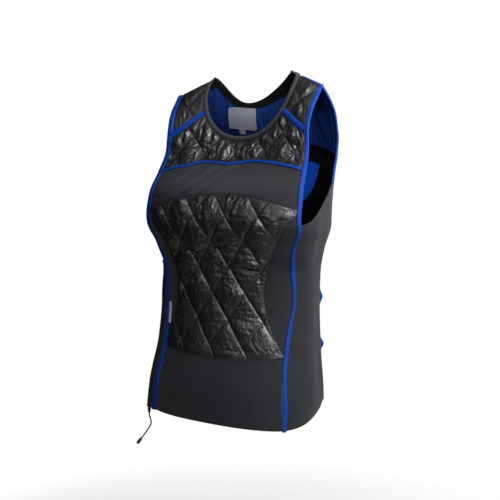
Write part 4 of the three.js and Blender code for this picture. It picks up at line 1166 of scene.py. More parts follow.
def snap_to_stitches(grid, lattice, start):
    """Move the nearest point of each row onto each stitch line, and return which points lie on one."""
    stitched = np.zeros(grid.phi.shape, bool)
    places = np.stack([grid.phi, grid.v], -1)
    row_pace = np.gradient(places, axis=1)
    for phase in stitch_phases(grid, lattice):
        off = phase - np.round(phase)
        pace = np.gradient(phase, axis=1)
        near = (np.abs(off) <= 0.5 * np.abs(pace)) & ~stitched
        near[:, (0, 1, -2, -1)] = False
        places += np.where(near, -off / pace, 0)[..., None] * row_pace
        stitched |= near
    grid.set_places(places, start)
    return stitched


print("a diamond of the belly is", DIAMOND_WIDTH, "x", DIAMOND_HEIGHT, "mm")

# %% [markdown]
# The wadding is soft and the stitches gather the nylon, so the pillows are full of small folds.
# Folds need a start: a blurred noise, long in one direction and short in the other, is laid on the
# sewn sheet. Each panel chooses how strong the level and the upright folds are.

# %% Gathers
FOLD_LONG = 22
FOLD_SHORT = 5
FOLD_RISE = 1.7


def smooth_noise(shape, long, short, lean):
    """Seeded noise of unit spread, blurred more along a direction that leans from the rows."""
    rows, cols = np.fft.fftfreq(shape[0])[:, None], np.fft.fftfreq(shape[1])[None, :]
    along = (cols * math.cos(lean) + rows * math.sin(lean)) * long
    across = (rows * math.cos(lean) - cols * math.sin(lean)) * short
    noise = np.fft.fft2(RANDOM.normal(size=shape)) * np.exp(-2 * np.pi**2 * (along**2 + across**2))
    blurred = np.fft.ifft2(noise).real
    return blurred / blurred.std()


def gathers(grid, spacing, level, upright):
    shape = grid.phi.shape
    long, short = FOLD_LONG / spacing, FOLD_SHORT / spacing
    return FOLD_RISE * (level * smooth_noise(shape, long, short, 0.0)
                        + upright * smooth_noise(shape, long, short, math.pi / 2))


print("gathers about", FOLD_LONG, "mm long and", FOLD_SHORT, "mm wide")

# %% [markdown]
# The swelling itself is a cloth simulation. The sheet starts as sewn, and a second shape key holds
# it as it was cut, which is a little larger each way. Cloth takes its rest lengths from that key,
# so the sheet is too big for its stitches. Points on stitches and borders are pinned, pressure
# stands for the wadding, and gravity is off. The last frame is read back, and the sheet is removed.

# %% Swelling by cloth simulation
SIM_SCALE = 0.01
SIM_FRAMES = 24
CLOTH_VALUES = {
    "quality": 4, "mass": 0.002, "tension_stiffness": 20, "compression_stiffness": 20,
    "shear_stiffness": 5, "bending_stiffness": 2, "bending_damping": 0.5, "air_damping": 2,
    "use_pressure": True, "uniform_pressure_force": 6,
}


def swell(sewn, cut, pinned):
    """Let a sheet swell; sewn and cut are its grids of points in millimetres, pinned its held points."""
    rows, cols = sewn.shape[:2]
    index = np.arange(rows * cols).reshape(rows, cols)
    mesh = bpy.data.meshes.new("swelling")
    mesh.from_pydata((sewn.reshape(-1, 3) * SIM_SCALE).tolist(), [], quads(index).tolist())
    sheet = bpy.data.objects.new("swelling", mesh)
    bpy.context.collection.objects.link(sheet)
    sheet.shape_key_add(name="sewn")
    cut_key = sheet.shape_key_add(name="cut")
    cut_key.data.foreach_set("co", (cut * SIM_SCALE).astype(np.float32).ravel())
    cut_key.value = 0
    sheet.vertex_groups.new(name="pinned").add(index[pinned].tolist(), 1.0, "REPLACE")
    cloth = sheet.modifiers.new("cloth", "CLOTH")
    cloth.point_cache.frame_end = SIM_FRAMES
    cloth.collision_settings.use_collision = False
    cloth.settings.vertex_group_mass = "pinned"
    cloth.settings.rest_shape_key = cut_key
    cloth.settings.effector_weights.gravity = 0
    for name, value in CLOTH_VALUES.items():
        setattr(cloth.settings, name, value)
    for frame_number in range(1, SIM_FRAMES + 1):
        bpy.context.scene.frame_set(frame_number)
    places = np.zeros(rows * cols * 3, np.float32)
    sheet.evaluated_get(bpy.context.evaluated_depsgraph_get()).data.vertices.foreach_get("co", places)
    bpy.context.scene.frame_set(1)
    bpy.data.objects.remove(sheet)
    bpy.data.meshes.remove(mesh)
    return places.reshape(rows, cols, 3).astype(float) / SIM_SCALE


print("the cloth swells for", SIM_FRAMES, "frames")

# %% [markdown]
# Finer than the simulated sheet are crinkles of the thin nylon and the grooves of the stitches. For
# these the grid is doubled by a cubic, which keeps it smooth. The lines that rise to the wearer's
# left are sewn looser: their grooves are shallower, and the cloth beside them is eased up a little.

# %% Crinkles and grooves
QUILT_SPACING = 3.0
CRINKLE_LONG = 16
CRINKLE_SHORT = 3.2
CRINKLE_NARROW = 0.4
CRINKLE_RISE = 0.9
CRINKLE_FADE = 5
LEVEL_LEAN = 0.15
UPRIGHT_LEAN = 1.45
SLANT_LEAN = 0.8
SLANT_SHARE_EACH = 0.5
GROOVE_DEPTH = 1.0
GROOVE_HALF = 1.6
RISING_GROOVE = 0.65
RISING_EASE = 0.7
EASE_HALF = 7
EASE_FADE = 12


def doubled(values):
    """A grid with one more point between each two, by a cubic through the four nearest."""
    for axis in (0, 1):
        old = np.moveaxis(values, axis, 0)
        padded = np.concatenate([2 * old[:1] - old[1:2], old, 2 * old[-1:] - old[-2:-1]])
        new = np.empty((2 * len(old) - 1, *old.shape[1:]))
        new[::2] = old
        new[1::2] = (9 * (padded[1:-2] + padded[2:-1]) - padded[:-3] - padded[3:]) / 16
        values = np.moveaxis(new, 0, axis)
    return values


def crinkles(shape, spacing, level, upright):
    """Thin ridges along the zero lines of blurred noise, as thin nylon makes them when it is crushed."""
    long, short = CRINKLE_LONG / spacing, CRINKLE_SHORT / spacing
    total = np.zeros(shape)
    for share, lean in ((level, LEVEL_LEAN), (upright, UPRIGHT_LEAN),
                        (SLANT_SHARE_EACH, SLANT_LEAN), (SLANT_SHARE_EACH, -SLANT_LEAN)):
        crest = np.exp(-(smooth_noise(shape, long, short, lean) / CRINKLE_NARROW) ** 2)
        total += share * (crest - crest.mean())
    return CRINKLE_RISE * total


def fine_relief(falling, rising, fade, level, upright, puff):
    """Crinkles, grooves and eased lines on the doubled grid, from the distances to the stitch lines."""
    off_stitch = smoothstep(np.minimum(falling, rising), 0, CRINKLE_FADE)
    held = np.clip(doubled(off_stitch * fade), 0, 1)
    level, upright = doubled(level + 0 * fade), doubled(upright + 0 * fade)
    fine = crinkles(held.shape, QUILT_SPACING / 2, level, upright) * held
    grooves = np.exp(-(doubled(falling) / GROOVE_HALF) ** 2)
    grooves += RISING_GROOVE * np.exp(-(doubled(rising) / GROOVE_HALF) ** 2)
    ease = RISING_EASE * np.exp(-(rising / EASE_HALF) ** 2) * smoothstep(falling, 0, EASE_FADE)
    return fine + puff * (doubled(ease) - GROOVE_DEPTH * grooves) * doubled(fade)


print("a grid of 3 x 4 points is doubled to", doubled(np.zeros((3, 4))).shape)

# %% [markdown]
# A quilted panel is then two skins: the swollen nylon outside and the flat blue backing inside.
# How far a point may move is capped, so that no pillow leaves the space of its CAD solid.

# %% Quilted panels
QUILT_WALL = 2.4
QUILT_PUFF = 4.5
PUFF_MOST = 7.5
SINK_MOST = 1.5
SLACK_SIDE = 0.05
SLACK_UP = 0.08
START_SHARE = 0.3
STITCH_FADE = 9
FOLD_FADE = 0.6
EVEN_FOLDS = (0.5, 0.5)
TINY = 1e-9


def swollen(grid, ground, stitched, pillow, folds, puff):
    """How far each point moves when the panel swells between its stitches."""
    pinned = stitched.copy()
    pinned[(0, -1), :] = True
    pinned[:, (0, -1)] = True
    sewn = ground + grid.lifted(np.where(pinned, 0, START_SHARE * pillow + folds))
    cut = ground * (1 + puff * SLACK_SIDE, 1 + puff * SLACK_SIDE, 1 + puff * SLACK_UP)
    move = swell(sewn, cut, pinned) - ground
    reach = np.linalg.norm(move, axis=-1, keepdims=True)
    return move * np.minimum(1, PUFF_MOST / np.maximum(reach, TINY))


def quilted_panel(name, node, edges, lattice, start=0.0, base=None, fold_shares=None, puff=1.0):
    """base gives the relief under the quilting, fold_shares the strength of level and upright folds,
    and puff the share of the full swelling."""
    grid = Grid(edges, QUILT_SPACING, start)
    stitched = snap_to_stitches(grid, lattice, start)
    fade = smoothstep(grid.border_distance(), 0, FADE)
    ground = grid.points + grid.lifted(base(grid) * fade if base else 0)
    first, second = stitch_phases(grid, lattice)
    pillow = puff * QUILT_PUFF * np.sqrt(np.abs(np.sin(np.pi * first) * np.sin(np.pi * second))) * fade
    level, upright = fold_shares(grid) if fold_shares else EVEN_FOLDS
    falling, rising = stitch_distances(grid, lattice)
    off_stitch = smoothstep(np.minimum(falling, rising), 0, STITCH_FADE)
    folds = gathers(grid, QUILT_SPACING, level, upright) * off_stitch * smoothstep(fade, 0, FOLD_FADE)
    move = swollen(grid, ground, stitched, pillow, folds, puff)
    most = np.linalg.norm(move, axis=-1).max()
    fine = fine_relief(falling, rising, fade, level, upright, puff)
    ground, move, normals = doubled(ground), doubled(move), unit(doubled(grid.normals))
    rise = (move * normals).sum(-1) + fine
    fine += np.maximum(0, -SINK_MOST - rise)
    outer = ground + move + normals * fine[..., None]
    inner = ground - normals * QUILT_WALL
    piece = closed_sheet(name, outer, inner, doubled(grid.uv), [QUILTED_NYLON, BLUE_LINING])
    stand_for(piece, node)
    print(name, len(piece.data.polygons), "faces, swells by", round(most, 1), "mm")


print("quilts swell by at most", PUFF_MOST, "mm")

# %% [markdown]
# The yoke lies over the chest with upright gathers and only half of the swelling, because it is
# stretched between the arms. The belly panel is full, and where the body bends it has level creases.
# Its folds are level round the waist and more upright near the top seam, where it is gathered.

# %% Front quilts
NECK_CLEAR = BINDING_CLEAR + SEAM_GAP
YOKE_PUFF = 0.5
YOKE_FOLDS = (0.4, 1.3)
CREASE_COLUMNS = ("z", "tilt", "width", "depth")
CREASES = [(-312, 0.06, 13, 3.6), (-342, -0.08, 11, 2.4), (-432, 0.05, 12, 2.2), (-478, -0.06, 11, 2.0)]
WAIST_FOLDS = {"z": -345, "span": 75, "least": 0.5, "more": 0.6}
TOP_FOLDS = {"z": -225, "span": 35, "least": 0.3, "more": 0.6}


def crease_relief(grid):
    relief = np.zeros(grid.phi.shape)
    for row in CREASES:
        crease = dict(zip(CREASE_COLUMNS, row))
        off = (grid.points[..., 2] - crease["z"] - crease["tilt"] * grid.points[..., 0]) / crease["width"]
        relief -= crease["depth"] * np.exp(-off**2)
    return relief


def fold_strength(z, folds):
    return folds["least"] + folds["more"] * np.exp(-((z - folds["z"]) / folds["span"]) ** 2)


def belly_folds(grid):
    z = grid.points[..., 2]
    return fold_strength(z, WAIST_FOLDS), fold_strength(z, TOP_FOLDS)


quilted_panel("yoke_quilt", "yoke_front", borders(
    mirrored(zip_seam_inner), left_seam_inner, raise_edge(chest_band, NARROW_CLEAR),
    lower(raise_edge(neck_floor, -NECK_CLEAR), raise_edge(shoulder_strip, -BINDING_CLEAR))),
    YOKE_LATTICE, fold_shares=lambda grid: YOKE_FOLDS, puff=YOKE_PUFF)
quilted_panel("belly_quilt", "belly_panel", borders(
    mirrored(lower(belly_curve, zip_seam_inner)), lower(belly_curve, left_seam_inner),
    raise_edge(belly_low, SEAM_GAP / 2), raise_edge(belly_top, -SEAM_GAP / 2)),
    BELLY_LATTICE, base=crease_relief, fold_shares=belly_folds)

# %% [markdown]
# A small quilt covers each shoulder, between the neck, the arm seam, the blue strip below it and the
# shoulder line. The neck is off centre and the right seam is the zip's, so each is cut on its own,
# and each has a lattice of its own whose lines cross on the quilt.

# %% Shoulder quilts
SHOULDER_FRONT_CLEAR = 2.2


def shoulder_borders(neck, seam_inner):
    return borders(widen(neck, NECK_CLEAR), seam_inner, raise_edge(shoulder_strip, BINDING_CLEAR),
                   raise_edge(shoulder_line, -SHOULDER_FRONT_CLEAR), high=SHOULDER_START)


left_shoulder = shoulder_borders(left_neck, left_seam_inner)
right_shoulder = flipped(shoulder_borders(right_neck, zip_seam_inner))
for side, edges in (("left", left_shoulder), ("right", right_shoulder)):
    quilted_panel(f"shoulder_quilt_{side}", f"shoulder_panel_{side}", edges, SHOULDER_LATTICES[side],
                  puff=YOKE_PUFF)

# %% [markdown]
# The back of the neck is a flatter curve than the front. It hangs between the two points where the
# neck meets the shoulder line, and is given by a turn from one to the other. A distance from the
# centre line and a height have to become an angle and a height share first.

# %% Back neck line
NECK_PEAK_X = 87
NECK_BACK_SHIFT = -16
NECK_BACK_POWER = 2.4
NECK_BACK_FLOOR_Z = -51
RIDGE_Z, RIDGE_SLOPE = SECTIONS[-1, 0], SECTIONS[-1, 1]


def ridge_z(x):
    return RIDGE_Z - RIDGE_SLOPE * sideways(x)


NECK_PEAK_Z = float(ridge_z(NECK_PEAK_X))


def spot_at(x, z, square):
    """(phi, v) of the front or back at a distance from the centre line and a height."""
    x, z = np.broadcast_arrays(np.asarray(x, float), np.asarray(z, float))
    v = solve(np.zeros_like(x), np.ones_like(x),
              lambda w: section(w)["z"] - section(w)["slope"] * sideways(x) - z)
    turn = angle_at(np.abs(x), v, square) * np.where(x < 0, -1, 1)
    return np.stack([turn if square == "square_front" else np.pi - turn, v], -1)


def back_neck_place(turn):
    x = NECK_PEAK_X * np.cos(turn) + NECK_BACK_SHIFT * np.sin(turn) ** 2
    return x, NECK_PEAK_Z - (NECK_PEAK_Z - NECK_BACK_FLOOR_Z) * np.abs(np.sin(turn)) ** NECK_BACK_POWER


def back_neck_spot(turn, clear):
    """Spots on the back neck line, or at a distance outside it."""
    inside = np.clip(turn, STEP, np.pi - STEP)
    (x0, z0), (x1, z1) = back_neck_place(inside - STEP), back_neck_place(inside + STEP)
    x, z = back_neck_place(turn)
    run = np.hypot(x1 - x0, z1 - z0)
    return spot_at(x - clear * (z1 - z0) / run, z + clear * (x1 - x0) / run, "square_back")


print("the neck meets the shoulder line at z", round(NECK_PEAK_Z, 1), "mm")

# %% [markdown]
# The back yoke is cut out for the neck between its two straps, so its upper border isn't one seam.
# It is a path of its own: along one shoulder, round the neck and along the other shoulder, walked
# at an even pace so that the grid's columns stay even. Its edges are tucked under the shoulder tapes
# and the neck band, so that no slit opens between them.

# %% Back yoke
SHOULDER_BACK_CLEAR = 4.4
NECK_UNDERLAP = 1.5
NECK_CURVE_STEPS = 120
STRAP_STEPS = 20


def back_yoke_borders():
    shoulder = raise_edge(shoulder_line, -SHOULDER_BACK_CLEAR)
    edges = borders(back_seam_inner, round_the_back(back_seam_inner),
                    raise_edge(back_yoke_low, SEAM_GAP / 2), shoulder, high=SHOULDER_START)
    clear = NECK_CLEAR - NECK_UNDERLAP

    def over_shoulder(turn):
        spots = back_neck_spot(turn, clear)
        return shoulder(spots[..., 0]) - spots[..., 1]
    start = solve([0.0], [np.pi / 2], over_shoulder)[0]
    end = solve([np.pi / 2], [np.pi], lambda turn: -over_shoulder(turn))[0]
    curve = back_neck_spot(np.linspace(start, end, NECK_CURVE_STEPS), clear)
    straps = [np.linspace(edges["top"](np.array(0.0))[0], curve[0, 0], STRAP_STEPS)[:-1],
              np.linspace(curve[-1, 0], edges["top"](np.array(1.0))[0], STRAP_STEPS)[1:]]
    first, last = (np.stack([strap, shoulder(strap)], -1) for strap in straps)
    path = np.concatenate([first, curve, last])
    way = way_along(surface(path[:, 0], path[:, 1]))
    way = way / way[-1]
    edges["top"] = lambda s: np.stack([np.interp(s, way, path[:, 0]), np.interp(s, way, path[:, 1])], -1)
    return edges


back_edges = back_yoke_borders()
quilted_panel("back_quilt", "back_yoke", back_edges, BACK_LATTICE, start=np.pi)

# %% [markdown]
# Behind the back yoke hangs a thin blue lining, which is seen through the neck. It has the same
# borders as the yoke and lies just inside it. Long upright wrinkles are laid on it from the same
# kind of noise as the gathers, clipped so that it never touches the yoke.

# %% Back lining
LINING_OUTER = -3.4
LINING_WALL = 1.0
LINING_SPACING = 3.5
LINING_FOLD = 0.7
LINING_FOLD_LONG = 9
LINING_FOLD_SHORT = 1.6
LINING_FOLD_LEAN = 1.4
lining_grid = Grid(back_edges, LINING_SPACING, np.pi)
lining_wrinkles = smooth_noise(lining_grid.phi.shape, LINING_FOLD_LONG, LINING_FOLD_SHORT, LINING_FOLD_LEAN)
lining_outer = LINING_OUTER - LINING_FOLD * (1 - np.clip(lining_wrinkles, -1, 1))
lining = lay("back_lining_cloth", lining_grid, lining_outer, lining_outer - LINING_WALL, [BLUE_LINING],
             "back_lining")
declare_sheet(lining, lining_grid)

# %% [markdown]
# Blue binding joins the panels: a folded tape that stands proud of the cloth. Its section is a flat
# loop with rounded shoulders, carried along the seam. The section can also be turned, so that one
# edge stands further out of the cloth than the other.

# %% Binding section
BINDING_PROUD = 1.7
BINDING_DEPTH = 2.4
BINDING_NORMAL_TOP = 0.985
TURNED_ABOVE = -0.6
BINDING_SECTION = np.array([
    (-0.50, 0.10), (-0.50, -0.55), (-0.46, -0.95), (-0.36, -1.0), (0.36, -1.0), (0.46, -0.95),
    (0.50, -0.55), (0.50, 0.10), (0.46, 0.45), (0.36, 0.75), (0.18, 0.95), (0.0, 1.0), (-0.18, 0.95),
    (-0.36, 0.75), (-0.46, 0.45),
])


def section_rings(points, along, out, width, turn=0.0):
    """Rings of the binding's section at points with directions along and out of the cloth."""
    out = unit(out - along * (out * along).sum(-1, keepdims=True))
    across = np.cross(out, along)
    share, height = BINDING_SECTION[:, 0], BINDING_SECTION[:, 1]
    rise = np.where(height > 0, height * BINDING_PROUD, height * BINDING_DEPTH)
    turned = np.reshape(turn, (-1, 1)) * (share[None, :] + 0.5) * (height[None, :] > TURNED_ABOVE)
    rise = rise[None, :] + turned
    offset = share[None, :] * np.reshape(width, (-1, 1))
    return points[:, None] + across[:, None] * offset[..., None] + out[:, None] * rise[..., None]


def binding(name, node, places, turn=0.0, width=BINDING_WIDTH):
    """A tape along (phi, v) places; turn and width may change along it."""
    points = surface(places[:, 0], places[:, 1])
    out = tangents(places[:, 0], np.minimum(places[:, 1], BINDING_NORMAL_TOP))[2]
    along = unit(np.gradient(points, axis=0))
    piece = sweep(name, section_rings(points, along, out, width, turn), False, [BLUE_BINDING])
    print(name, round(way_along(points)[-1]), "mm long")
    return stand_for(piece, node)


print("binding section of", len(BINDING_SECTION), "points")

# %% [markdown]
# Four bindings run up the body, from just under the hem to the shoulder. The one on the zip's side
# is turned to the front, more so at the bust, and it is narrower at the waist than above and below.
# The left back one puckers twice, at waist and hip, where the side panel pulls on it.

# %% Upright bindings
ZIP_TURN = 4
BUST_TURN = 5
BUST_TURN_Z = -245
BUST_TURN_SPAN = 45
RIGHT_WIDER = 3.5
RIGHT_WIDER_Z = (-345, -270)
RIGHT_WIDER_LOW_Z = (-520, -455)
PUCKER_RISE = 7
PUCKERS = [(-394, 12), (-477, 9)]
HEM_OVERHANG = 2
BINDING_TOP_V = 0.998
BINDING_STEPS = 360


def upright_places(seam, sign):
    low = crossing(seam, raise_edge(hem, -HEM_OVERHANG), HEM_START)[1]
    v = np.linspace(low, BINDING_TOP_V, BINDING_STEPS)
    return np.stack([sign * seam(v), v], -1)


left_places = upright_places(left_seam, 1)
left_width = left_seam_row(section(left_places[:, 1])["z"], 1)
binding("front_tape_left", "front_binding_left", left_places, width=left_width)

back_places = upright_places(back_seam, 1)
back_z = surface(back_places[:, 0], back_places[:, 1])[:, 2]
puckers = sum(PUCKER_RISE * np.exp(-((back_z - z) / span) ** 2) for z, span in PUCKERS)
binding("back_tape_left", "back_binding_left", back_places, puckers)

right_places = upright_places(zip_seam, -1)
right_z = section(right_places[:, 1])["z"]
bust_share = np.exp(-((right_z - BUST_TURN_Z) / BUST_TURN_SPAN) ** 2)
right_turn = ZIP_TURN * drawn(right_places[:, 1]) + BUST_TURN * bust_share
right_wider = 1 + smoothstep(right_z, *RIGHT_WIDER_Z) - smoothstep(right_z, *RIGHT_WIDER_LOW_Z)
right_width = BINDING_WIDTH + RIGHT_WIDER * right_wider
binding("front_tape_right", "front_binding_right", right_places, right_turn, right_width)
binding("back_tape_right", "back_binding_right", upright_places(back_seam, -1))

# %% [markdown]
# Three bindings run across the front: a narrow one over the chest, from seam to seam, and a
# strip under each shoulder quilt. The right strip is found on the left side with the right side's
# own seams, and is then walked the other way with its sign changed.

# %% Level bindings
STRIP_WIDTH = 10.0
STRIP_STEPS = 40
BAND_STEPS = 200
BAND_START = 0.6


def level_places(level, start, end, count):
    phi = np.linspace(start, end, count)
    return np.stack([phi, level(phi)], -1)


band_left = crossing(left_seam_inner, chest_band, BAND_START)[0]
band_right = -crossing(zip_seam_inner, chest_band, BAND_START)[0]
binding("chest_tape", "chest_band", level_places(chest_band, band_left, band_right, BAND_STEPS),
        width=NARROW_WIDTH)
for side, neck, seam_inner in (("left", left_neck, left_seam_inner), ("right", right_neck, zip_seam_inner)):
    strip_start = crossing(widen(neck, NECK_CLEAR), shoulder_strip, HIGH_START)[0]
    strip_end = crossing(seam_inner, shoulder_strip, HIGH_START)[0]
    places = level_places(shoulder_strip, strip_end, strip_start, STRIP_STEPS)
    places = places if side == "left" else places[::-1] * (-1, 1)
    binding(f"shoulder_strip_tape_{side}", f"shoulder_strip_{side}", places, width=STRIP_WIDTH)

# %% [markdown]
# A knitted band closes the neck. It is one loop: down the front on one side, up the other, and
# round the back. The two halves meet in a corner on the shoulders, so the directions out of the
# cloth are smoothed along the loop before the band's section is carried round it. The half of the
# section that faces the body is painted near-black, as painted shade for the shade of the collar.

# %% Neck binding
NECK_AVERAGES = 12
NECK_RIDGE_STEP = 1.25
NECK_FRONT_STEPS = 240
NECK_BACK_STEPS = 168
NECK_NORMAL_TOP = 0.99


def signed_power(value, power):
    return np.sign(value) * np.abs(value) ** power


def averaged(loop):
    return (np.roll(loop, 1, axis=0) + 2 * loop + np.roll(loop, -1, axis=0)) / 4


def ridge_spots(start, end):
    x = np.arange(start, end, NECK_RIDGE_STEP * np.sign(end - start))
    return spot_at(x, ridge_z(x), "square_front")


neck_turn = np.linspace(-np.pi / 2, np.pi / 2, NECK_FRONT_STEPS, endpoint=False)
neck_x = NECK_SHIFT + NECK_HALF * signed_power(np.sin(neck_turn), 2 / NECK_ROUND)
neck_z = NECK_WIDEST_Z - NECK_DROP * signed_power(np.cos(neck_turn), 2 / NECK_ROUND)
neck_spots = np.concatenate([
    spot_at(neck_x, neck_z, "square_front"),
    ridge_spots(NECK_SHIFT + NECK_HALF, NECK_PEAK_X),
    back_neck_spot(np.linspace(0, np.pi, NECK_BACK_STEPS), 0),
    ridge_spots(-NECK_PEAK_X - NECK_RIDGE_STEP, NECK_SHIFT - NECK_HALF),
])
neck_points = surface(neck_spots[:, 0], neck_spots[:, 1])
neck_out = tangents(neck_spots[:, 0], np.minimum(neck_spots[:, 1], NECK_NORMAL_TOP))[2]
for _ in range(NECK_AVERAGES):
    neck_points, neck_out = averaged(neck_points), averaged(neck_out)
neck_along = unit(np.roll(neck_points, -1, axis=0) - np.roll(neck_points, 1, axis=0))
# Painted shade: the half of the section that faces the body gets the near-black knit.
shade_painted_sides = (BINDING_SECTION[:, 1] + np.roll(BINDING_SECTION[:, 1], -1) < 0).astype(int)
neck_band = sweep("neck_band", section_rings(neck_points, neck_along, neck_out, BINDING_WIDTH), True,
                  [BLACK_BINDING, SHADE_PAINTED_KNIT], shade_painted_sides)
stand_for(neck_band, "neck_binding")
print("neck band", round(way_along(neck_points)[-1]), "mm round")

# %% [markdown]
# Inside the back neck the band is folded over the lining, and on the wearer's left it is turned
# down wider. This fold is a sheet of its own, just inside the lining, cut by two lines that keep
# their distance from the neck line. It has no solid in the CAD model, so it only rides on the frame.

# %% Neck fold
NECK_FOLD_OUTER = -4.8
NECK_FOLD_WALL = 1.2
NECK_FOLD_LEFT = 18
NECK_FOLD_RIGHT = 7
NECK_FOLD_NARROWS = (-1.6, -0.7)
NECK_FOLD_PEAK = 8
NECK_FOLD_PEAK_TURN = (2.5, 3.0)
NECK_FOLD_TUCK = np.array((-6.5, -3.0, -1.0))
NECK_FOLD_END_Z = -4
NECK_FOLD_STEPS = 160
NECK_FOLD_ROWS = np.linspace(1, -0.2, 9)


def tucked(grid, shift):
    """A grid with one more column, which tucks the fold's right end under the shoulder tape."""
    end = grid[:, -1:] + shift
    if grid.shape[-1] == 3:
        end[..., 2] = np.minimum(end[..., 2], NECK_FOLD_END_Z)
    return np.concatenate([grid, end], axis=1)


def trim(piece):
    """A piece with no CAD node of its own, which only rides on the frame's body."""
    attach(piece, "root")


fold_turn = np.linspace(0, np.pi, NECK_FOLD_STEPS)
left_share = smoothstep(-fold_turn, *NECK_FOLD_NARROWS)
fold_width = NECK_FOLD_RIGHT + (NECK_FOLD_LEFT - NECK_FOLD_RIGHT) * left_share
fold_width += NECK_FOLD_PEAK * smoothstep(fold_turn, *NECK_FOLD_PEAK_TURN)
fold_places = np.stack([back_neck_spot(fold_turn, fold_width * share) for share in NECK_FOLD_ROWS])
fold_grid = Grid.from_places(fold_places, np.pi)
fold_outer = fold_grid.points + fold_grid.normals * NECK_FOLD_OUTER
fold_inner = fold_grid.points + fold_grid.normals * (NECK_FOLD_OUTER - NECK_FOLD_WALL)
# Painted shade: the fold has the near-black knit, darker than the band's own black rib.
neck_fold = closed_sheet("neck_fold", tucked(fold_outer, NECK_FOLD_TUCK), tucked(fold_inner, NECK_FOLD_TUCK),
                         tucked(fold_grid.uv, NECK_FOLD_TUCK[:2]), [SHADE_PAINTED_KNIT])
trim(neck_fold)
print("neck fold", NECK_FOLD_RIGHT, "to", NECK_FOLD_LEFT, "mm wide")

# %% [markdown]
# Each shoulder seam is covered by a narrow blue tape just behind the shoulder line. The line is
# almost straight, so one direction out of the cloth serves for its whole length.

# %% Shoulder tapes
TAPE_HALF = 3.4
TAPE_BACK = 2
TAPE_END_CLEAR = 1
TAPE_STEPS = 40
TAPE_SECTION = np.array([
    (-1.0, -0.9), (-0.9, -2.0), (-0.62, -2.6), (0.62, -2.6), (0.9, -2.0), (1.0, -0.9), (0.9, -0.2),
    (0.6, 0.3), (0.0, 0.4), (-0.6, 0.3), (-0.9, -0.2),
])
OTHER_SIDE = np.array((-1, 1, 1))
tape_end = section(1.0)["seam_front"] - BINDING_CLEAR - TAPE_END_CLEAR


def shoulder_seam(side, shift):
    x = np.linspace(shift + NECK_HALF + NECK_CLEAR + TAPE_END_CLEAR, tape_end, TAPE_STEPS)
    points = surface(angle_at(x, np.ones_like(x), "square_front"), 1.0) + (0, TAPE_BACK, 0)
    along = unit(points[-1] - points[0])
    out = unit(np.array((0, 0, 1.0)) - along * along[2])
    rings = (points[:, None] + TAPE_SECTION[None, :, :1] * TAPE_HALF * np.cross(out, along)
             + TAPE_SECTION[None, :, 1:] * out)
    rings = rings if side == "left" else rings[::-1] * OTHER_SIDE
    piece = sweep(f"shoulder_seam_{side}", rings, False, [BLUE_BINDING])
    stand_for(piece, f"shoulder_tape_{side}")
    print("shoulder tape", side, round(np.linalg.norm(points[-1] - points[0])), "mm long")


shoulder_seam("left", NECK_SHIFT)
shoulder_seam("right", -NECK_SHIFT)

# %% [markdown]
# Inside each armhole a blue facing hangs behind the front binding. It is a loose triangle of the
# lining cloth, painted a deeper blue as painted shade: its free edge stands inwards, and upright
# wrinkles run down it, weaker near the seam that holds it and flattened where they would come out
# against the binding.

# %% Armhole facings
FACING_TOP_Z = -156
FACING_TOP_Y = -70
FACING_TILT = 0.25
FACING_LOW_Z = -228
FACING_LOW_START = 0.45
FACING_TOP_START = 0.55
FACING_WIDTH = 100
FACING_TIP = 4
FACING_PAST = 1.3
FACING_DIVE = 4
FACING_OUTER = -2.9
FACING_SPACING = 2.5
WRINKLE_RISE = 0.9
WRINKLE_MOST = 0.4
WRINKLE_COUNT = 17
WRINKLE_SLANT = 0.05
WRINKLE_FADE = (0.05, 0.4)


def facing_free_edge(v):
    p = surface(left_seam(v), v)
    share = np.clip((p[..., 2] - FACING_LOW_Z) / (FACING_TOP_Z - FACING_LOW_Z), 0, FACING_PAST)
    return widen(left_seam, FACING_TIP + (FACING_WIDTH - FACING_TIP) * share)(v)


def facing_top_z(x, y):
    return FACING_TOP_Z - FACING_TILT * (y - FACING_TOP_Y)


def facing(name, node, edges, turned):
    grid = Grid(edges, FACING_SPACING)
    share = np.linspace(0, 1, grid.phi.shape[1])[None, :]
    share = 1 - share if turned else share
    waves = WRINKLE_RISE * np.sin(share * WRINKLE_COUNT + WRINKLE_SLANT * grid.up)
    wrinkle = np.minimum(waves * smoothstep(share, *WRINKLE_FADE), WRINKLE_MOST)
    outer = FACING_OUTER - FACING_DIVE * share + wrinkle
    # Painted shade: the facing is the lining cloth painted a deeper blue.
    piece = lay(name, grid, outer, outer - LINING_WALL, [SHADE_PAINTED_FACING_CLOTH], node)
    declare_sheet(piece, grid)


facing_edges = borders(
    widen(left_seam, -BINDING_WIDTH / 4), facing_free_edge, level_at(FACING_LOW_Z),
    level_edge(facing_top_z), low=FACING_LOW_START, high=FACING_TOP_START)
facing("facing_cloth_left", "armhole_facing_left", facing_edges, False)
facing("facing_cloth_right", "armhole_facing_right", flipped(facing_edges), True)

# %% [markdown]
# A woven label with a size tab is sewn inside the back of the neck. Both are left blank. The
# corners are cut round: a mapping from a square to a quarter disc bends the grid there without
# breaking it. A low welt runs round the edge, as on a folded and sewn label.

# %% Neck label and size tab
LABEL_WALL = 0.8
LABEL_X = -32
LABEL_TOP_Z = -55
LABEL_TILT = math.radians(6)
LABEL_SIZE = (64, 37)
LABEL_CORNER = 4
LABEL_OUTER = -5.4
LABEL_SPACING = 1.0
WELT_RISE = 0.3
WELT_FADE = (2.2, 1.6)
TAB_SIZE = (13, 8)
TAB_SHIFT = -2
TAB_CORNER = 1.5


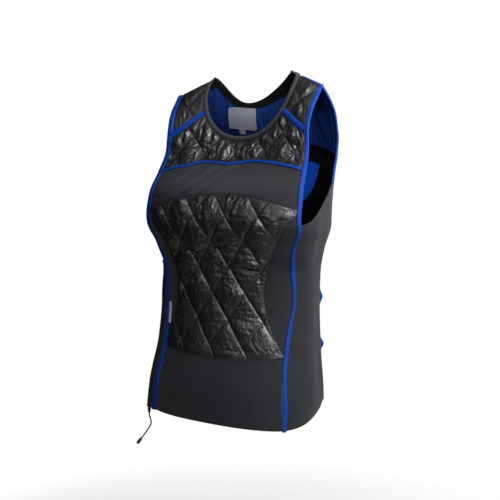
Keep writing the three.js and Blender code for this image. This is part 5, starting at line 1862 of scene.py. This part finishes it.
def rounded(a, b, width, height, radius):
    """Points of a rectangle whose corners are drawn in to quarter discs."""
    over_a = np.clip((np.abs(a) - width / 2 + radius) / radius, 0, 1)
    over_b = np.clip((np.abs(b) - height / 2 + radius) / radius, 0, 1)
    draw_a = radius * over_a * (1 - np.sqrt(1 - over_b**2 / 2))
    draw_b = radius * over_b * (1 - np.sqrt(1 - over_a**2 / 2))
    return a - np.sign(a) * draw_a, b - np.sign(b) * draw_b


def back_label(name, node, middle, top, size, corner):
    """A label whose middle and top are measured from the middle of the neck label's upper edge."""
    a, b = np.meshgrid(np.linspace(1, -1, int(size[0] / LABEL_SPACING)) * size[0] / 2,
                       np.linspace(-1, 1, int(size[1] / LABEL_SPACING)) * size[1] / 2)
    edge = np.minimum(size[0] / 2 - np.abs(a), size[1] / 2 - np.abs(b))
    a, b = rounded(a, b, *size, corner)
    along, up = middle + a, top - size[1] / 2 + b
    x = LABEL_X + along * math.cos(LABEL_TILT) + up * math.sin(LABEL_TILT)
    z = LABEL_TOP_Z - along * math.sin(LABEL_TILT) + up * math.cos(LABEL_TILT)
    grid = Grid.from_places(spot_at(x, z, "square_back"), np.pi)
    inner = LABEL_OUTER - LABEL_WALL - WELT_RISE * smoothstep(edge, *WELT_FADE)
    # Painted shade: the neck label and the size tab are white cloth painted grey.
    piece = lay(name, grid, LABEL_OUTER, inner, [SHADE_PAINTED_LABEL_CLOTH], node)
    print(name, size, "mm")


back_label("neck_label_cloth", "neck_label", 0, 0, LABEL_SIZE, LABEL_CORNER)
back_label("size_tab_cloth", "size_tab", TAB_SHIFT, -LABEL_SIZE[1] - SEAM_GAP, TAB_SIZE, TAB_CORNER)

# %% [markdown]
# A narrow care label sticks out of the right front seam below the waist. It lies on the panel, so it
# is one more grid beside the seam, lifted a little, and it is left blank as well. It has the plain
# white of the cloth, and the label in the neck is painted greyer than it as painted shade.

# %% Care label
CARE_TOP_Z = -414
CARE_SIZE = (8, 38)
CARE_LIFT = 0.5
CARE_LOW_START = 0.15
CARE_TOP_START = 0.25
care_edges = borders(
    widen(zip_seam, -BINDING_CLEAR - CARE_SIZE[0]), zip_seam_inner, level_at(CARE_TOP_Z - CARE_SIZE[1]),
    level_at(CARE_TOP_Z), low=CARE_LOW_START, high=CARE_TOP_START)
care_grid = Grid(flipped(care_edges), LABEL_SPACING)
care_label = lay("care_label_cloth", care_grid, CARE_LIFT + LABEL_WALL, CARE_LIFT, [CARE_CLOTH],
                 "care_label")
print("care label", CARE_SIZE, "mm")

# %% [markdown]
# A zip opens the right side seam. Its tape is sewn under the binding and stands off the side panel,
# like a fin that is turned out by an angle. Towards its upper end it gets narrower, until it goes
# into the seam.

# %% Side zip
ZIP_TOP_Z = -336
ZIP_TOP_TURN = math.radians(60)
ZIP_WIDTH = 13
ZIP_HALF_WALL = 0.8
ZIP_EDGE_HALF = 0.5
ZIP_CHAMFER = 0.3
ZIP_FLARE = math.radians(22)
ZIP_UNDERLAP = 2.5
ZIP_LIFT = 1.4
ZIP_TIP = 0.1
ZIP_TAPER = 70
ZIP_STEPS = 140
ZIP_UPPER = np.array([
    (-ZIP_UNDERLAP, ZIP_EDGE_HALF), (ZIP_CHAMFER - ZIP_UNDERLAP, ZIP_HALF_WALL),
    (ZIP_WIDTH - ZIP_CHAMFER, ZIP_HALF_WALL), (ZIP_WIDTH, ZIP_EDGE_HALF),
])
ZIP_SECTION = np.concatenate([ZIP_UPPER, ZIP_UPPER[::-1] * (1, -1)])
zip_top_v = float(level_at(ZIP_TOP_Z)(ZIP_TOP_TURN))
zip_low_v = crossing(zip_seam_outer, hem, HEM_START)[1]


def zip_frames(steps):
    """Points, directions across the tape and out of it, on the wearer's left; the zip mirrors them."""
    v = np.linspace(zip_top_v, zip_low_v, steps)
    phi = zip_seam_outer(v)
    turn, _, normal = tangents(phi, v)
    away = unit(turn)
    across = away * math.cos(ZIP_FLARE) + normal * math.sin(ZIP_FLARE)
    out = normal * math.cos(ZIP_FLARE) - away * math.sin(ZIP_FLARE)
    lift = (ZIP_LIFT + ZIP_TURN * drawn(v))[:, None]
    return surface(phi, v) + normal * lift, across, out


zip_at, zip_across, zip_out = zip_frames(ZIP_STEPS)
zip_taper = ZIP_TIP + (1 - ZIP_TIP) * smoothstep(ZIP_TOP_Z - zip_at[:, 2], 0, ZIP_TAPER)
zip_rings = (zip_at[:, None] + ZIP_SECTION[None, :, :1] * (zip_across * zip_taper[:, None])[:, None]
             + ZIP_SECTION[None, :, 1:] * zip_out[:, None])
zip_tape = sweep("side_zip_tape", zip_rings[:, ::-1] * OTHER_SIDE, False, [ZIP_TAPE])
stand_for(zip_tape, "side_zip")
zip_length = way_along(zip_at)[-1]
print("zip", round(zip_length), "mm long")

# %% [markdown]
# A coil of nylon is sewn along the tape. Modelling it as one long spiral would need a very fine
# path, so each turn is a small arch of its own: half a ring that stands on the tape, flattened a
# little. The arches begin where the tape has its full width.

# %% Zip coil
COIL_PITCH = 1.7
COIL_RADIUS = 0.55
COIL_HALF = 2.4
COIL_PLACE = 0.64
COIL_FLAT = 0.75
COIL_THICK = 0.25
ROUND = np.linspace(0, 2 * np.pi, 6, endpoint=False)
ARCH = np.linspace(0, np.pi, 6)


def coil_arch(place, side, up):
    middle = place + side * ZIP_WIDTH * COIL_PLACE + up * ZIP_HALF_WALL
    along = np.cross(side, up)
    spoke = side[None] * np.cos(ARCH)[:, None] + up[None] * (COIL_FLAT * np.sin(ARCH))[:, None]
    ring = (spoke[:, None] * (1 + COIL_THICK * np.cos(ROUND))[None, :, None] * (COIL_HALF - COIL_RADIUS)
            + along * (COIL_RADIUS * np.sin(ROUND))[None, :, None])
    return (middle + ring) * OTHER_SIDE


coil_frames = zip(*zip_frames(int(zip_length / COIL_PITCH)))
coil = [coil_arch(place, side, up) for place, side, up in coil_frames if place[2] < ZIP_TOP_Z - ZIP_TAPER]
trim(joined("side_zip_coil", coil, ZIP_TAPE))
print("coil turns:", len(coil))

# %% [markdown]
# The slider is a small casting with a narrow nose, and a bail on its face holds the cord. Its body
# is a stack of rounded rectangles, wide at the top where the two rows of the coil go in. The bail
# is a bent wire, so it is a tube along half an ellipse.

# %% Zip slider
SLIDER_SIZE = (8.0, 4.6, 11.0)
SLIDER_TURN = math.radians(-62)
SLIDER_WAY = np.array([0, 0.04, 0.1, 0.35, 0.6, 0.9, 0.97, 1.0])
SLIDER_HALF = np.array([0.86, 0.97, 1.0, 0.98, 0.80, 0.68, 0.64, 0.52])
SLIDER_THICK = 0.75
SLIDER_ROUND = 4.0
SLIDER_SIDES = 28
BAIL_RADIUS = 0.5
BAIL_MIDDLE = 5.5
BAIL_HALF = 3.4
BAIL_FOOT = 1.9
BAIL_RISE = 0.9
BAIL_STEPS = 14

slider_seat = (slider_low + slider_high) / 2
slider_seat[2] = slider_high[2]
slider_side = np.array((math.cos(SLIDER_TURN), math.sin(SLIDER_TURN), 0))
slider_face = np.array((math.sin(SLIDER_TURN), -math.cos(SLIDER_TURN), 0))
slider_down = np.array((0, 0, -1.0))
turn = np.linspace(0, 2 * np.pi, SLIDER_SIDES, endpoint=False)
rho = (np.abs(np.cos(turn)) ** SLIDER_ROUND + np.abs(np.sin(turn)) ** SLIDER_ROUND) ** (-1 / SLIDER_ROUND)
ring_side = (rho * np.cos(turn))[None, :, None] * SLIDER_HALF[:, None, None] * SLIDER_SIZE[0] / 2
thick = (SLIDER_THICK + (1 - SLIDER_THICK) * SLIDER_HALF)[:, None, None]
ring_face = (rho * np.sin(turn))[None, :, None] * thick * SLIDER_SIZE[1] / 2
ring_down = (SLIDER_WAY * SLIDER_SIZE[2])[:, None, None]
body = slider_seat + ring_side * slider_side + ring_face * slider_face + ring_down * slider_down
bail_way = np.linspace(0, np.pi, BAIL_STEPS)
bail_path = (slider_seat + slider_down * (BAIL_MIDDLE - BAIL_HALF * np.cos(bail_way))[:, None]
             + slider_face * (BAIL_FOOT + BAIL_RISE * np.sin(bail_way))[:, None])
bail = tube_rings(bail_path, lambda turn, way: BAIL_RADIUS + 0 * turn + 0 * way)
slider = joined("zip_slider_cast", [body[:, ::-1], bail], SLIDER_METAL)
stand_for(slider, "zip_slider")
print("slider", SLIDER_SIZE, "mm")

# %% [markdown]
# Thread shows along the seams: dark flat seams join the stretch panels to the quilted one, and the
# bindings are held by a row near each edge. A stitch is a capsule, a short tube with round ends, and
# a row is many of them at an even pace along a seam, joined to one object.

# %% A row of stitches
STITCH_LENGTH = 2.8
STITCH_PITCH = 4.2
STITCH_RADIUS = 0.5
STITCH_WAY = np.array((-0.5, -0.44, -0.25, 0.25, 0.44, 0.5))
STITCH_GIRTH = np.array((0.1, 0.7, 1.0, 1.0, 0.7, 0.1))


def stitch_row(places, off, rise):
    """Capsules along (phi, v) places, off to the left of their way and raised out of the cloth."""
    points = surface(places[:, 0], places[:, 1])
    out = tangents(places[:, 0], places[:, 1])[2]
    along = unit(np.gradient(points, axis=0))
    points = points + np.cross(out, along) * np.broadcast_to(off, len(points))[:, None] + out * rise
    way = way_along(points)
    middles = np.arange(STITCH_PITCH, way[-1] - STITCH_PITCH, STITCH_PITCH)

    def at_middles(rows):
        return np.stack([np.interp(middles, way, axis) for axis in rows.T], -1)
    at, run, up = at_middles(points), at_middles(along), at_middles(out)
    spokes = np.cross(up, run)[:, None] * np.cos(ROUND)[:, None] + up[:, None] * np.sin(ROUND)[:, None]
    return list(at[:, None, None] + run[:, None, None] * (STITCH_WAY * STITCH_LENGTH)[:, None, None]
                + spokes[:, None] * (STITCH_GIRTH * STITCH_RADIUS)[:, None, None])


print("a stitch is", STITCH_LENGTH, "mm long, one for each", STITCH_PITCH, "mm")

# %% [markdown]
# Four dark rows follow the seams round the belly panel, just outside it. Four blue rows follow the
# two edges of the left front binding and of the chest band. The left binding changes in width, so
# its rows keep to a share of the width.

# %% Stitches
SEAM_STITCH_OFF = 1.8
SEAM_STITCH_RISE = 0.2
TAPE_STITCH_SHARE = 0.36
TAPE_STITCH_RISE = 1.3
BELLY_TOP_START = 0.4
SEAM_STEPS = 200
INSET_STEPS = 160


def seam_across(level, v):
    right = -crossing(zip_seam_inner, level, v)[0]
    left = crossing(left_seam_inner, level, v)[0]
    return level_places(level, right, left, SEAM_STEPS)


def inset_seam(seam_inner, sign):
    v = np.linspace(*inset_ends(seam_inner), INSET_STEPS)
    return np.stack([sign * belly_curve(v), v], -1)


dark_rows = []
for places, off in ((seam_across(belly_top, BELLY_TOP_START), SEAM_STITCH_OFF),
                    (seam_across(belly_low, LOW_START), -SEAM_STITCH_OFF),
                    (inset_seam(left_seam_inner, 1), -SEAM_STITCH_OFF),
                    (inset_seam(zip_seam_inner, -1), SEAM_STITCH_OFF)):
    dark_rows += stitch_row(places, off, SEAM_STITCH_RISE)
band_places = level_places(chest_band, band_right, band_left, BAND_STEPS)
blue_rows = []
for places, width in ((left_places, left_width), (band_places, NARROW_WIDTH)):
    for side in (TAPE_STITCH_SHARE, -TAPE_STITCH_SHARE):
        blue_rows += stitch_row(places, side * width, TAPE_STITCH_RISE)
trim(joined("seam_stitches", dark_rows, BLACK_THREAD))
trim(joined("tape_stitches", blue_rows, BLUE_THREAD))
print("stitches:", len(dark_rows), "dark and", len(blue_rows), "blue")

# %% [markdown]
# The photo has soft light on a white ground. A large lamp on the wearer's left, a little above the
# shoulders, gives the long highlights on the nylon. A weaker one in front opens the shadows, a very
# weak one does so on the other side, and a lamp behind the top lights its back.

# %% Lights
def area_light(name, where, aim, size, power):
    data = bpy.data.lights.new(name, "AREA")
    data.shape = "DISK"
    data.size = size
    data.energy = power
    light = bpy.data.objects.new(name, data)
    bpy.context.collection.objects.link(light)
    light.location = where
    light.rotation_euler = (Vector(where) - Vector(aim)).to_track_quat("Z", "Y").to_euler()


area_light("key", where=(0.95, -0.20, 0.38), aim=(0, 0, -0.25), size=0.9, power=30)
area_light("fill", where=(-0.9, -1.9, 0.6), aim=(0, 0, -0.3), size=0.8, power=0.5)
area_light("front", where=(0.6, -1.8, 0.9), aim=(0, 0, -0.3), size=1.0, power=12)
area_light("rear", where=(0.2, 2.0, 0.6), aim=(0, 0, -0.3), size=1.4, power=16)
print("lamps:", len(bpy.data.lights))

# %% [markdown]
# The camera sees a pure white world, but a white world would flood black cloth with light. So the
# world has two backgrounds, and a light path node picks the white one for the camera's own rays and
# a very dim one for all the light that falls on the top.

# %% World
AMBIENT = 0.008
WHITE = (1, 1, 1, 1)
world = bpy.data.worlds.new("studio")
world.use_nodes = True
bpy.context.scene.world = world
sky = world.node_tree
sky_light = sky.nodes["Background"]
sky_light.inputs["Color"].default_value = WHITE
sky_light.inputs["Strength"].default_value = AMBIENT
sky_seen = sky.nodes.new("ShaderNodeBackground")
sky_seen.inputs["Color"].default_value = WHITE
sky_path = sky.nodes.new("ShaderNodeLightPath")
sky_mix = sky.nodes.new("ShaderNodeMixShader")
sky.links.new(sky_path.outputs["Is Camera Ray"], sky_mix.inputs["Fac"])
sky.links.new(sky_light.outputs[0], sky_mix.inputs[1])
sky.links.new(sky_seen.outputs[0], sky_mix.inputs[2])
sky.links.new(sky_mix.outputs[0], sky.nodes["World Output"].inputs["Surface"])
bpy.context.scene.view_settings.view_transform = "Standard"
print("ambient light", AMBIENT)

# %% [markdown]
# A floor below the hem catches the lamps' light. It is a disc whose paint fades out towards its
# rim, by the distance from its middle, so that no edge shows against the white world.

# %% Floor
FLOOR_Z = -1.0
FLOOR_RADIUS = 0.9
FLOOR_SIDES = 96
FLOOR_FADE = {"From Min": 0.1, "From Max": FLOOR_RADIUS, "To Min": 1, "To Max": 0}
bpy.ops.mesh.primitive_circle_add(vertices=FLOOR_SIDES, radius=FLOOR_RADIUS, fill_type="NGON",
                                  location=(0, 0, FLOOR_Z))
floor = bpy.context.object
floor.name = "floor"
paint = bpy.data.materials.new("floor_paint")
paint.use_nodes = True
paint_tree = paint.node_tree
paint_shader = paint_tree.nodes["Principled BSDF"]
paint_shader.inputs["Base Color"].default_value = (0.9, 0.9, 0.9, 1)
paint_shader.inputs["Roughness"].default_value = 0.9
paint_place = paint_tree.nodes.new("ShaderNodeTexCoord")
paint_length = paint_tree.nodes.new("ShaderNodeVectorMath")
paint_length.operation = "LENGTH"
paint_fade = paint_tree.nodes.new("ShaderNodeMapRange")
for socket, value in FLOOR_FADE.items():
    paint_fade.inputs[socket].default_value = value
paint_tree.links.new(paint_place.outputs["Object"], paint_length.inputs[0])
paint_tree.links.new(paint_length.outputs["Value"], paint_fade.inputs["Value"])
paint_tree.links.new(paint_fade.outputs[0], paint_shader.inputs["Alpha"])
floor.data.materials.append(paint)
print("floor at z", FLOOR_Z, "m")
